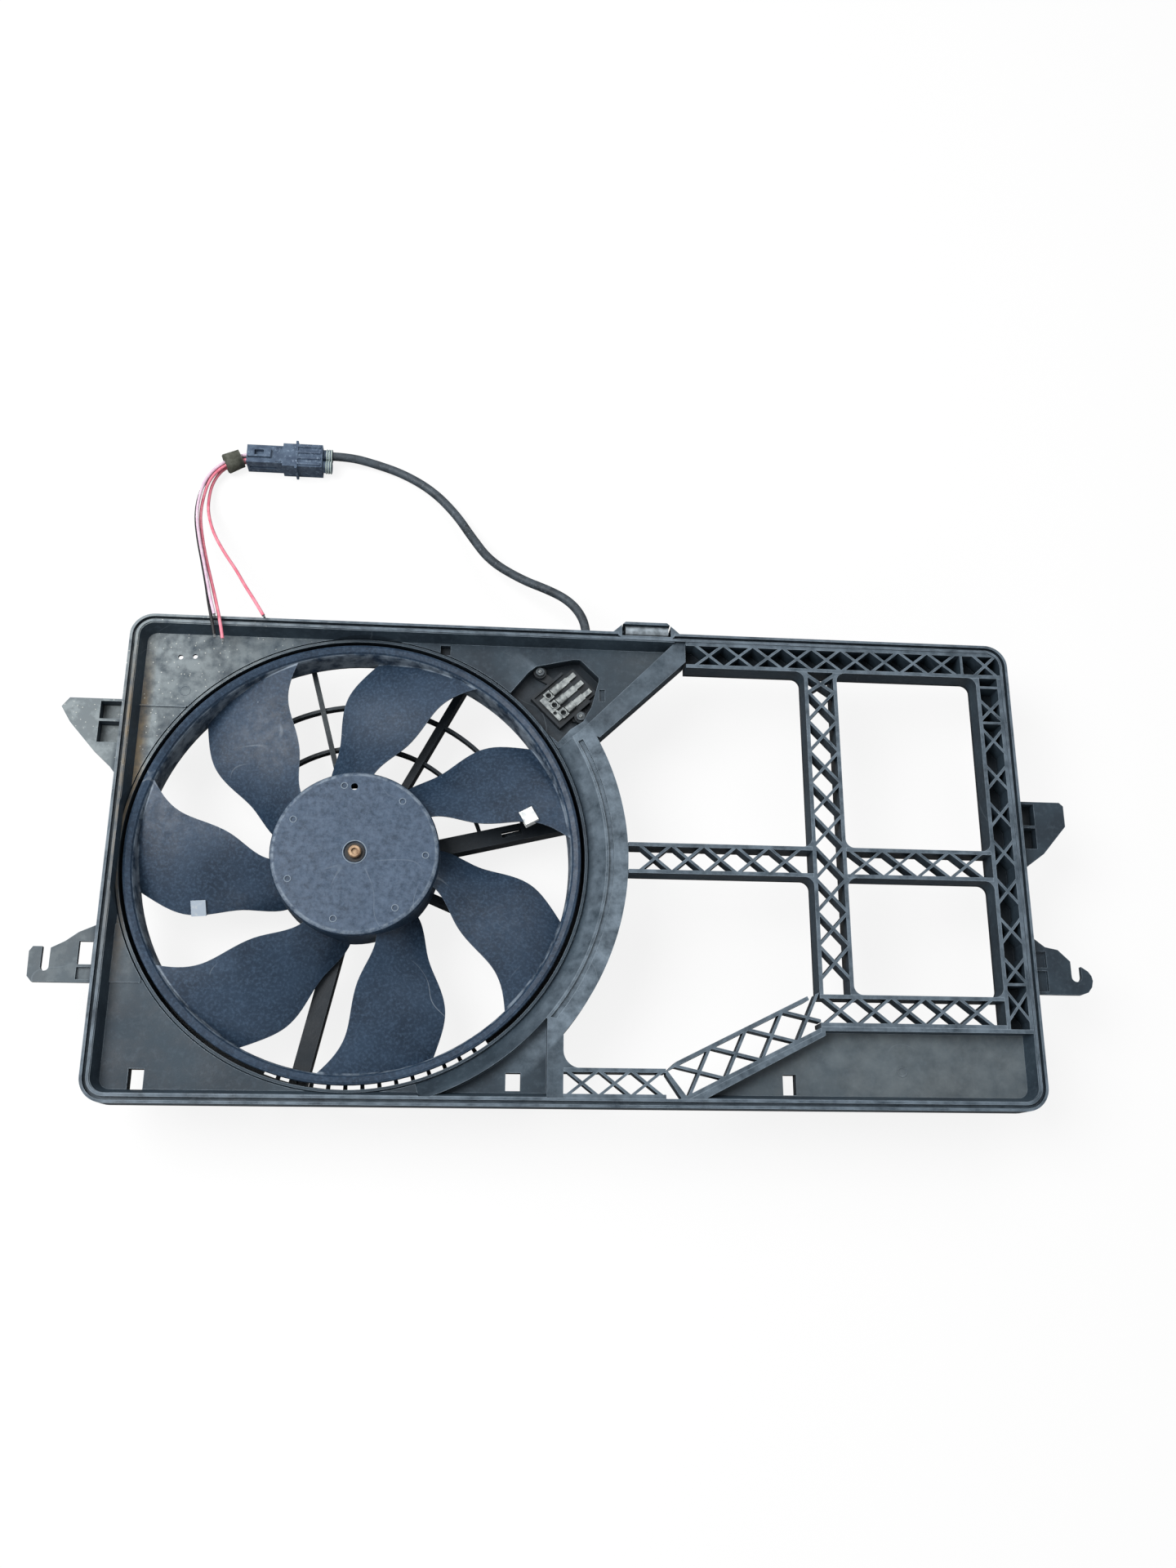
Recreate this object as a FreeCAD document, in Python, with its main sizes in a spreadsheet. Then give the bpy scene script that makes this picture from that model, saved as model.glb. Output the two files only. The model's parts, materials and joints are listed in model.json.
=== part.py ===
import FreeCAD, Part
import math
import os
from types import SimpleNamespace

import Sketcher
from FreeCAD import Vector

# Radiator cooling fan, lying on its motor with the side that faces the radiator upwards.
# Millimetres. Z is the fan's axis, X runs along the cowl and Y to the cowl's top edge.
# Each piece is drawn about the middle of the cowl's rectangle, or about the fan's axis when it
# is turned, and its placement then takes it to its place. Heights are above the motor's back.

SIZES = [
    ("cowl_wide", 700, "cowl over the rim, left to right"),
    ("cowl_tall", 372, "cowl over the rim, bottom to top"),
    ("clip_reach", 9, "top clip beyond the rim, so that the whole is centred on Y"),
    ("rim_high", 84, "rim's front face above the motor's back"),
    ("corner_round", 18, "outer radius of the cowl's corners"),
    ("rim_wall", 2, "outer wall of the rim"),
    ("rim_groove", 2.5, "seal groove between the two walls"),
    ("groove_deep", 4, "depth of the seal groove"),
    ("lip_wall", 2, "inner wall of the rim"),
    ("skirt_deep", 22, "outer wall of the rim, front to back"),
    ("wall", 2.5, "moulded wall"),
    ("floor_deep", 14, "panel's front face below the rim"),
    ("slope_run", 4, "run of the slope between rim and panel"),
    ("flange_deep", 4, "flange beside the windows, below the rim"),
    ("fan_x", -169, "fan axis left of the cowl's middle"),
    ("collar_room", 11.5, "between the collar's bore and the cowl's long sides"),
    ("collar_wall", 3, "collar's wall"),
    ("collar_back", 39, "collar's back edge above the motor's back"),
    ("collar_lip", 2.5, "thickness of the lip behind the fan's band"),
    ("ridge_out", 17.5, "inner edge of the window flange beyond the collar's bore"),
    ("flange_wide", 15, "window flange"),
    ("flange_groove", 4, "groove in the flange beside the bell mouth"),
    ("groove_step", 2.2, "depth of the flange's groove"),
    ("hub_radius", 63.6, "fan hub"),
    ("hub_deep", 36, "hub's side wall"),
    ("hub_drop", 6, "hub's face below the rim"),
    ("band_gap", 8.5, "between the fan's band and the collar"),
    ("band_deep", 28, "fan's band, front to back"),
    ("band_wall", 2.5, "wall of the fan's band"),
    ("band_drop", 12, "front of the fan's band below the rim"),
    ("lip_reach", 5.5, "rolled lip of the band beyond its wall"),
    ("blade_count", 7, "blades"),
    ("blade_thick", 2.4, "blade's thickness"),
    ("blade_high", 4, "leading edges of the blades behind the front of the band"),
    ("blade_drop", 16, "fall from a blade's leading to its trailing edge, before the station's share"),
    ("blade_chord", 0.6, "widest share of the radius that a blade's chord reaches"),
    ("blade_start", 92, "direction of the first blade at the hub, degrees"),
    ("blade_lean", 21, "degrees that a blade's tip leans back from its root"),
    ("blade_camber", 2.6, "rise of a blade's middle over its chord"),
    ("shaft_radius", 4, "motor shaft"),
    ("running_gap", 0.05, "radial clearance of the shaft in its bearings"),
    ("can_radius", 48, "motor can"),
    ("can_back", 18, "joint between the motor can and its end cap"),
    ("can_front", 66, "front of the motor can"),
    ("can_wall", 2, "sheet of the motor can"),
    ("bearing_radius", 8, "outside of each bearing"),
    ("bearing_long", 7, "length of each bearing"),
    ("arm_back", 24, "back of the support arms above the motor's back"),
    ("ring_wide", 9, "ring that carries the motor"),
    ("ring_gap", 1, "clearance of the motor can in its ring"),
    ("ear_thick", 3, "motor ear"),
    ("screw_radius", 2.1, "motor screw shank"),
    ("lattice_deep", 19, "lattice beams, front to back"),
    ("lattice_bar", 3.2, "lattice bar, measured along its beam"),
    ("bar_deep", 12, "crossed bars of the beams without a back, front to back"),
    ("chord", 3, "long walls of the lattice beams"),
    ("window_round", 7, "inside corners of the windows"),
    ("top_beam_wide", 22, "top beam"),
    ("right_beam_wide", 20.8, "right beam"),
    ("post_left", 180.6, "left edge of the centre post"),
    ("post_wide", 26.6, "centre post"),
    ("mid_low", -12.2, "lower edge of the middle beam"),
    ("mid_tall", 24.1, "middle beam"),
    ("low_rise", 84, "upper edge of the bottom beam above the cowl's lower edge"),
    ("low_tall", 24, "bottom beam"),
    ("hook_reach", 47.5, "hooks beyond the rim"),
    ("hook_thick", 4, "hook and bracket plates"),
    ("hook_drop", 9, "face of the hooks and brackets below the rim"),
    ("slot_left", 6, "slot of the left hook"),
    ("slot_right", 8, "slot of the right hook"),
    ("cable_thick", 7.5, "sheathed cable"),
    ("lead_thick", 7, "lead from the motor to the resistor"),
    ("wire_thick", 2.6, "single wire"),
]


class Size:
    """A length, with the formula in the sheet's names that gives it."""

    def __init__(self, text, number):
        self.text = text
        self.number = number

    def join(self, other, sign, number):
        return Size(f"({self.text} {sign} {text(other)})", number)

    def __add__(self, other):
        return self.join(other, "+", self.number + number(other))

    def __sub__(self, other):
        return self.join(other, "-", self.number - number(other))

    def __mul__(self, other):
        return self.join(other, "*", self.number * number(other))

    def __truediv__(self, other):
        return self.join(other, "/", self.number / number(other))

    def __radd__(self, other):
        return Size(f"({other} + {self.text})", other + self.number)

    def __rsub__(self, other):
        return Size(f"({other} - {self.text})", other - self.number)

    def __rmul__(self, other):
        return Size(f"({other} * {self.text})", other * self.number)

    def __neg__(self):
        return Size(f"(0 - {self.text})", -self.number)


def text(size):
    return size.text if isinstance(size, Size) else repr(float(size))


def number(size):
    return size.number if isinstance(size, Size) else size


doc = FreeCAD.newDocument("CoolingFan")
sheet = doc.addObject("Spreadsheet::Sheet", "Sizes")
for row, (alias, amount, note) in enumerate(SIZES, 1):
    sheet.set(f"A{row}", alias)
    sheet.set(f"B{row}", str(amount))
    sheet.set(f"C{row}", note)
    sheet.setAlias(f"B{row}", alias)
doc.recompute()
S = SimpleNamespace(**{alias: Size("Sizes." + alias, float(getattr(sheet, alias))) for alias, _, _ in SIZES})

UP = Vector(0, 0, 1)
NODES = []

# Places worked out from the sizes.
half_wide = S.cowl_wide / 2
half_tall = S.cowl_tall / 2
cowl_shift = -(S.clip_reach / 2)
seam = S.rim_wall + S.rim_groove + S.lip_wall
inner_x = half_wide - seam
inner_y = half_tall - seam
floor_top = S.rim_high - S.floor_deep
floor_low = floor_top - S.wall
flange_top = S.rim_high - S.flange_deep
lattice_top = S.rim_high - 1
lattice_low = lattice_top - S.lattice_deep
S.collar_bore = half_tall - S.collar_room
S.band_radius = S.collar_bore - S.band_gap
S.ridge_radius = S.collar_bore + S.ridge_out
S.flange_radius = S.ridge_radius + S.flange_wide
S.chord_top = inner_y - S.top_beam_wide
S.chord_right = inner_x - S.right_beam_wide
S.low_top = S.low_rise - half_tall
above = half_tall - 186
left_by = 350 - half_wide
collar_outer = S.collar_bore + S.collar_wall
hub_top = S.rim_high - S.hub_drop
hub_low = hub_top - S.hub_deep
band_top = S.rim_high - S.band_drop
band_low = band_top - S.band_deep


# Helpers


def bind(thing, path, size):
    if isinstance(size, Size):
        thing.setExpression(path, size.text)


def place(thing, x, y, z, turn=0):
    thing.Placement = FreeCAD.Placement(Vector(number(x), number(y), number(z)), FreeCAD.Rotation(UP, turn))
    for axis, size in zip("xyz", (x, y, z)):
        bind(thing, f"Placement.Base.{axis}", size)


def keep(thing, label, at_fan=False):
    """Name a finished sub-part and put it in its place in the whole."""
    thing.Label = label
    place(thing, S.fan_x if at_fan else 0, cowl_shift, 0)
    NODES.append(thing)
    return thing


def hold(sketch, kind, geometry, point, size):
    index = sketch.addConstraint(Sketcher.Constraint(kind, -1, 1, geometry, point, number(size)))
    bind(sketch, f"Constraints[{index}]", size)


def polygon(sketch, corners):
    first = sketch.GeometryCount
    count = len(corners)
    spots = [Vector(number(x), number(y), 0) for x, y in corners]
    for i in range(count):
        sketch.addGeometry(Part.LineSegment(spots[i], spots[(i + 1) % count]), False)
    for i, (x, y) in enumerate(corners):
        sketch.addConstraint(Sketcher.Constraint("Coincident", first + i, 2, first + (i + 1) % count, 1))
        hold(sketch, "DistanceX", first + i, 1, x)
        hold(sketch, "DistanceY", first + i, 1, y)


def circle(sketch, x, y, radius):
    spot = Vector(number(x), number(y), 0)
    geometry = sketch.addGeometry(Part.Circle(spot, UP, number(radius)), False)
    hold(sketch, "DistanceX", geometry, 3, x)
    hold(sketch, "DistanceY", geometry, 3, y)
    index = sketch.addConstraint(Sketcher.Constraint("Radius", geometry, number(radius)))
    bind(sketch, f"Constraints[{index}]", radius)


def rounded(sketch, left, low, right, top, radius):
    """A rectangle with round corners, counter-clockwise from its lower side."""
    spots = [(right - radius, low + radius), (right - radius, top - radius),
             (left + radius, top - radius), (left + radius, low + radius)]
    first = sketch.GeometryCount
    reach = number(radius)
    for i, (x, y) in enumerate(spots):
        spot = Vector(number(x), number(y), 0)
        start = math.radians(90 * i - 90)
        sketch.addGeometry(Part.ArcOfCircle(Part.Circle(spot, UP, reach), start, start + math.pi / 2), False)
    for i in range(4):
        here = sketch.getPoint(first + i, 2)
        there = sketch.getPoint(first + (i + 1) % 4, 1)
        line = sketch.addGeometry(Part.LineSegment(here, there), False)
        sketch.addConstraint(Sketcher.Constraint("Tangent", first + i, 2, line, 1))
        sketch.addConstraint(Sketcher.Constraint("Tangent", line, 2, first + (i + 1) % 4, 1))
    for i, (x, y) in enumerate(spots):
        hold(sketch, "DistanceX", first + i, 3, x)
        hold(sketch, "DistanceY", first + i, 3, y)
    index = sketch.addConstraint(Sketcher.Constraint("Radius", first, reach))
    bind(sketch, f"Constraints[{index}]", radius)


def flat_sketch(name, height, draw):
    sketch = doc.addObject("Sketcher::SketchObject", name + "_outline")
    draw(sketch)
    place(sketch, 0, 0, height)
    return sketch


def prism(name, low, high, draw):
    """Draw an outline in plan and raise it from one height to another."""
    solid = doc.addObject("Part::Extrusion", name)
    solid.Base = flat_sketch(name, low, draw)
    solid.DirMode = "Custom"
    solid.Dir = UP
    solid.Solid = True
    solid.LengthFwd = number(high - low)
    bind(solid, "LengthFwd", high - low)
    return solid


def plate(name, low, high, corners):
    return prism(name, low, high, lambda sketch: polygon(sketch, corners))


def block(name, left, front, low, right, back, high):
    box = doc.addObject("Part::Box", name)
    for path, size in (("Length", right - left), ("Width", back - front), ("Height", high - low)):
        setattr(box, path, number(size))
        bind(box, path, size)
    place(box, left, front, low)
    return box


def disc(name, radius, low, high, x=0, y=0):
    rod = doc.addObject("Part::Cylinder", name)
    rod.Radius = number(radius)
    rod.Height = number(high - low)
    bind(rod, "Radius", radius)
    bind(rod, "Height", high - low)
    place(rod, x, y, low)
    return rod


def fuse(name, pieces):
    whole = doc.addObject("Part::MultiFuse", name)
    whole.Shapes = pieces
    return whole


def cut(name, base, tool):
    rest = doc.addObject("Part::Cut", name)
    rest.Base = base
    rest.Tool = tool
    return rest


def group(name, pieces):
    together = doc.addObject("Part::Compound", name)
    together.Links = pieces
    return together


def common(name, one, other):
    shared = doc.addObject("Part::Common", name)
    shared.Base = one
    shared.Tool = other
    return shared


def ring(name, inner, outer, low, high, x=0):
    return cut(name, disc(name + "_outside", outer, low, high, x), disc(name + "_bore", inner, low - 1, high + 1, x))


def plane(body, role):
    return next(item for item in body.Origin.OriginFeatures if item.Role == role)


def body_sketch(body, name, role, height, draw):
    sketch = body.newObject("Sketcher::SketchObject", name)
    sketch.AttachmentSupport = [(plane(body, role), "")]
    sketch.MapMode = "FlatFace"
    sketch.AttachmentOffset = FreeCAD.Placement(Vector(0, 0, number(height)), FreeCAD.Rotation())
    bind(sketch, "AttachmentOffset.Base.z", height)
    draw(sketch)
    return sketch


def turned(name, profile):
    """Turn a profile of (radius, height) points about the Z axis."""
    body = doc.addObject("PartDesign::Body", name)
    sketch = body_sketch(body, name + "_profile", "XZ_Plane", 0, lambda item: polygon(item, profile))
    lathe = body.newObject("PartDesign::Revolution", name + "_turn")
    lathe.Profile = sketch
    lathe.ReferenceAxis = (sketch, ["V_Axis"])
    lathe.Angle = 360
    body.Tip = lathe
    return body


def pad(body, name, low, high, draw):
    sketch = body_sketch(body, name + "_sketch", "XY_Plane", low, draw)
    feature = body.newObject("PartDesign::Pad", name)
    feature.Profile = sketch
    feature.Length = number(high - low)
    bind(feature, "Length", high - low)
    return feature


# Cowl


def cowl_rim():
    """Double wall round the cowl, with the seal groove between its two lips."""
    def outline(sketch, inset):
        rounded(sketch, inset - half_wide, inset - half_tall, half_wide - inset, half_tall - inset,
                S.corner_round - inset)

    groove_low = S.rim_high - S.groove_deep
    outside = prism("rim_outside", S.rim_high - S.skirt_deep, S.rim_high, lambda item: outline(item, S.rim_wall * 0))
    groove = prism("rim_groove_space", groove_low, S.rim_high + 1, lambda item: outline(item, S.rim_wall))
    lip = prism("rim_lip", lattice_low, S.rim_high, lambda item: outline(item, S.rim_wall + S.rim_groove))
    behind = prism("rim_behind", S.rim_high - S.skirt_deep - 1, groove_low - S.wall,
                   lambda item: outline(item, S.rim_wall))
    inside = prism("rim_inside", S.rim_high - S.skirt_deep - 1, S.rim_high + 1, lambda item: outline(item, seam))
    hollow = fuse("rim_hollow", [groove, behind])
    walls = fuse("rim_walls", [cut("rim_shell", outside, hollow), lip])
    seat = disc("rim_collar_seat", collar_outer, S.collar_back - 1, floor_top, S.fan_x)
    holder = plate("rim_holder_space", S.rim_high - clip_deep, S.rim_high + 1, clip_outline())
    keep(cut("rim_finished", walls, fuse("rim_clearance", [inside, seat, holder])), "cowl_rim")


def inside_rim(name, low, high):
    """Everything inside the rim's inner wall between two heights."""
    return prism(name, low, high, lambda item: rounded(
        item, -inner_x, -inner_y, inner_x, inner_y, S.corner_round - seam))


def slope_tool(name):
    """Tapered space inside the rim, which leaves a slope from the lip down to the panel."""
    small = seam + S.slope_run
    low = flat_sketch(name + "_low", floor_top, lambda item: rounded(
        item, small - half_wide, small - half_tall, half_wide - small, half_tall - small, S.corner_round - small))
    high = flat_sketch(name + "_high", S.rim_high, lambda item: rounded(
        item, seam + 0.4 - half_wide, seam + 0.4 - half_tall, half_wide - seam - 0.4, half_tall - seam - 0.4,
        S.corner_round - seam - 0.4))
    tool = doc.addObject("Part::Loft", name)
    tool.Sections = [low, high]
    tool.Solid = True
    tool.Ruled = True
    return tool


def around_fan(radius, degrees):
    """Place at a distance and a direction from the fan's axis."""
    turn = math.radians(degrees)
    return (S.fan_x + radius * math.cos(turn), radius * math.sin(turn))


strut_low = around_fan(S.ridge_radius + 6.3, 31)
strut_end = around_fan(S.flange_radius + 1.9, 27.7)
strut_top_x = 76.2
strut_far_x = 85
strip_left = S.fan_x + S.ridge_radius * 0.763
strip_right = strip_left + 12
POCKET = [(x, y + above) for x, y in [(-60, 132), (-42, 155), (-35, 161), (-5, 168), (2, 168), (18, 152), (18, 148),
                                      (12, 125), (5, 112), (-5, 105), (-16, 92)]]
pocket_deep = 11
SQUARE_HOLES = [(-320 + left_by, 10 - half_tall, -309 + left_by, 25 - half_tall),
                (-52, 12 - half_tall, -41, 25 - half_tall)]


def sector(name, low_angle, high_angle, profile, at_fan=True):
    """Turn a profile about the fan's axis from one direction to another."""
    solid = doc.addObject("Part::Revolution", name)
    sketch = doc.addObject("Sketcher::SketchObject", name + "_profile")
    polygon(sketch, profile)
    sketch.Placement = FreeCAD.Placement(Vector(0, 0, 0), FreeCAD.Rotation(Vector(1, 0, 0), 90))
    solid.Source = sketch
    solid.Axis = UP
    solid.Angle = high_angle - low_angle
    solid.Solid = True
    place(solid, S.fan_x if at_fan else 0, 0, 0, low_angle)
    return solid


slope_low_angle = -73
flange_low_angle = -40
flange_high_angle = 30.5


def pocket_space(name, margin, low, tall):
    """The resistor pocket's outline, drawn in by a margin and raised."""
    inset = doc.addObject("Part::Offset2D", name + "_inset")
    inset.Source = flat_sketch(name + "_mouth", low, lambda item: polygon(item, POCKET))
    inset.Value = -margin
    inset.Join = 2
    space = doc.addObject("Part::Extrusion", name)
    space.Base = inset
    space.DirMode = "Custom"
    space.Dir = UP
    space.Solid = True
    space.LengthFwd = tall
    return space


def cowl_panel():
    """Panel with its slopes, the bell mouth beside the windows, the resistor pocket and the holes."""
    corners = [(-inner_x, -inner_y), (strip_left, -inner_y), (strip_left, -(S.ridge_radius * 0.625)),
               around_fan(S.collar_bore - 2.5, -35.5), around_fan(S.collar_bore - 13, 29.7), strut_low,
               (strut_top_x, inner_y), (-inner_x, inner_y)]
    sheet_blank = plate("panel_blank", floor_low, S.rim_high - 1, corners)
    corner = inside_rim("panel_corners", floor_low - 1, S.rim_high)
    blank = cut("panel_dished", common("panel_rounded", sheet_blank, corner), slope_tool("panel_slope"))
    outer = S.ridge_radius - 2
    bore = disc("panel_bore", collar_outer, floor_low - 1, S.rim_high + 1, S.fan_x)
    mouth = [(collar_outer, floor_low - 1), (outer, floor_low - 1), (outer, S.rim_high + 1),
             (collar_outer, S.rim_high + 1)]
    opened = cut("panel_opened", blank, fuse("panel_openings", [bore, sector(
        "panel_mouth_space", slope_low_angle, flange_high_angle, mouth)]))
    bell_turned = sector("panel_bell_turned", slope_low_angle, flange_high_angle, [
        (collar_outer, floor_top - 2), (outer, flange_top), (outer, floor_low), (outer - S.wall, floor_low),
        (outer - S.wall, flange_top - S.wall * 2), (collar_outer, floor_top - 2 - S.wall * 1.4)])
    bell = common("panel_bell", bell_turned, inside_rim("bell_limit", floor_low - 1, S.rim_high))
    pocket_low = floor_top - pocket_deep
    well = plate("pocket_well", pocket_low - S.wall, floor_low, POCKET)
    ledge = plate("panel_ledge", floor_low, floor_top + 1.5, [
        (-inner_x, 113.8 + above), (-300 + left_by, 113.8 + above), (-300 + left_by, 115 + above),
        (-inner_x, 115 + above)])
    pad_left = block("panel_pad", -inner_x, -100, floor_low, -318 + left_by, -57, floor_top + 1.2)
    cup = block("panel_cup", -113, 164 + above, floor_low - 5, -101, 176 + above, floor_low + 1)
    chimneys = [block(f"panel_chimney_{i}", left - 2, low - 2, floor_low - 8, right + 2, top + 2, floor_low + 1)
                for i, (left, low, right, top) in enumerate(SQUARE_HOLES)]
    panel = fuse("panel_with_well", [opened, bell, well, ledge, pad_left, cup] + chimneys)
    mouth_space = pocket_space("pocket_space", 2, pocket_low, pocket_deep + 10)
    collar_space = disc("panel_collar_space", collar_outer, floor_low - pocket_deep - 5, S.rim_high + 1, S.fan_x)
    holes = [mouth_space, collar_space]
    for i, (left, low, right, top) in enumerate(SQUARE_HOLES):
        holes.append(block(f"panel_square_{i}", left, low, floor_low - 9, right, top, floor_top + 1))
    holes.append(block("panel_top_hole", -111, 166 + above, floor_low - 3.5, -103, 174 + above, floor_top + 1))
    for i, (x, y) in enumerate([(-313, 156), (-302, 157)]):
        holes.append(disc(f"panel_round_{i}", 2, floor_low - 1, floor_top + 1, x + left_by, y + above))
    holes.append(block("panel_slot", 16.5, 131 + above, floor_low + 0.8, 21, 141 + above, floor_top + 1))
    keep(cut("cowl_panel", panel, fuse("panel_holes", holes)), "cowl_panel")


def cowl_collar():
    """Barrel round the fan's band, with a lip behind the band and drain slots low in that lip."""
    inner = S.band_radius - 1
    lip_top = S.collar_back + S.collar_lip
    barrel = turned("collar_barrel", [
        (inner, S.collar_back), (collar_outer, S.collar_back), (collar_outer, floor_top - 2),
        (collar_outer - 1, floor_top), (S.collar_bore, floor_top), (S.collar_bore, lip_top), (inner, lip_top)])
    slots = []
    for i in range(DRAINS):
        around = FreeCAD.Rotation(UP, 251 + 4.2 * i)
        slot = doc.addObject("Part::Box", f"drain_{i}")
        slot.Length = 4
        slot.Width = 9.5
        slot.Height = 6
        slot.Placement = FreeCAD.Placement(
            around.multVec(Vector(number(S.collar_bore) - 6.5, -4.75, number(S.collar_back) - 1)), around)
        slots.append(slot)
    keep(cut("collar_drained", barrel, fuse("collar_drains", slots)), "cowl_collar", at_fan=True)


DRAINS = 14


def window_edge():
    """Flange between the fan and the windows, its skirt, the strut and the strip down to the rim."""
    low = S.rim_high - S.skirt_deep
    inner = S.ridge_radius - 2
    skirt = S.flange_radius - S.wall
    far = S.ridge_radius + S.flange_groove
    dip = flange_top - S.groove_step
    flange = sector("edge_flange", flange_low_angle, flange_high_angle - 1.5, [
        (inner, flange_top), (S.ridge_radius, flange_top), (S.ridge_radius, dip), (far, dip), (far, flange_top),
        (S.flange_radius, flange_top), (S.flange_radius, low), (skirt, low), (skirt, flange_top - S.wall),
        (far + S.wall, flange_top - S.wall), (far + S.wall, dip - S.wall), (inner, dip - S.wall)])
    shoulder = plate("edge_shoulder", low, flange_top, [
        around_fan(inner, flange_high_angle - 1.5), around_fan(S.flange_radius - 1, flange_high_angle - 1.5),
        strut_low, around_fan(inner, flange_high_angle + 0.2)])
    strut = plate("edge_strut", low, flange_top, [
        strut_low, strut_end, (strut_far_x, S.chord_top + 6), (strut_far_x, inner_y), (strut_top_x, inner_y)])
    strip = plate("edge_strip", low, flange_top, [
        (strip_left, -inner_y), (strip_left, -(S.ridge_radius * 0.63)), (strip_right, -(S.ridge_radius * 0.643)),
        (strip_right, -inner_y)])
    rounding = 13
    corner = cut("edge_corner", block("edge_corner_block", strip_right, 28 - half_tall, low, strip_right + rounding,
                                      28 + rounding - half_tall, flange_top),
                 disc("edge_corner_hollow", rounding, low - 1, flange_top + 1, strip_right + rounding,
                      28 + rounding - half_tall))
    bore = disc("edge_bore", inner, low - 1, flange_top + 1, S.fan_x)
    keep(cut("window_edge", fuse("edge_parts", [flange, shoulder, strut, strip, corner]), bore), "window_edge")


# Lattice frame


def lattice(name, left, low, right, top, first, pitch, count, along="x", chords=("low", "top"), back=False,
            cell=None, ends=(), extra=()):
    """A beam of long walls joined by a row of crossed bars, with a closed back where it has one.

    first is the middle of the first cross, pitch the step to the next one.
    """
    body = doc.addObject("PartDesign::Body", name)
    walls = []
    if "low" in chords:
        walls.append((left, low, right, low + S.chord) if along == "x" else (left, low, left + S.chord, top))
    if "top" in chords:
        walls.append((left, top - S.chord, right, top) if along == "x" else (right - S.chord, low, right, top))
    walls.extend(ends)
    base_high = lattice_low
    bar_low = lattice_top - S.bar_deep
    if back:
        base_high = lattice_low + 2
        bar_low = base_high
        pad(body, name + "_back", lattice_low, base_high,
            lambda item: polygon(item, [(left, low), (right, low), (right, top), (left, top)]))
    start, stop = (low, top) if along == "x" else (left, right)
    if "low" in chords:
        start = start + S.chord * 0.5
    if "top" in chords:
        stop = stop - S.chord * 0.5
    slim = S.lattice_bar / 2

    def cross(tag, middle, span):
        bars = []
        for sign in (1, -1):
            near = middle - span / 2 * sign
            far = middle + span / 2 * sign
            if along == "x":
                corners = [(near - slim, start), (near + slim, start), (far + slim, stop), (far - slim, stop)]
            else:
                corners = [(start, near - slim), (start, near + slim), (stop, far + slim), (stop, far - slim)]
            bars.append(pad(body, f"{name}_bar_{tag}_{sign + 1}", bar_low, lattice_top,
                            lambda item, outline=corners: polygon(item, outline)))
        return bars

    for i, (x0, y0, x1, y1) in enumerate(walls):
        pad(body, f"{name}_wall_{i}", base_high, lattice_top,
            lambda item, outline=((x0, y0), (x1, y0), (x1, y1), (x0, y1)): polygon(item, list(outline)))
        if i == 0:
            crosses = cross("row", first, cell or pitch)
            row = body.newObject("PartDesign::LinearPattern", name + "_row")
            row.Originals = crosses
            row.Direction = (crosses[0].Profile[0], ["H_Axis" if along == "x" else "V_Axis"])
            row.Length = pitch * (count - 1)
            row.Occurrences = count
            body.Tip = row
    for i, (middle, span) in enumerate(extra):
        cross(f"extra_{i}", middle, span)
    return body


def corner_webs(name, corners):
    """Webs that round the corners of the windows; each corner says which way its window lies."""
    webs = []
    for i, (x, y, right, up) in enumerate(corners):
        far_x = x + S.window_round * right
        far_y = y + S.window_round * up
        square = block(f"{name}_square_{i}", x if right > 0 else far_x, y if up > 0 else far_y, lattice_low,
                       far_x if right > 0 else x, far_y if up > 0 else y, lattice_top)
        hollow = disc(f"{name}_hollow_{i}", S.window_round, lattice_low - 1, lattice_top + 1, far_x, far_y)
        webs.append(cut(f"{name}_web_{i}", square, hollow))
    return webs


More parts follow.
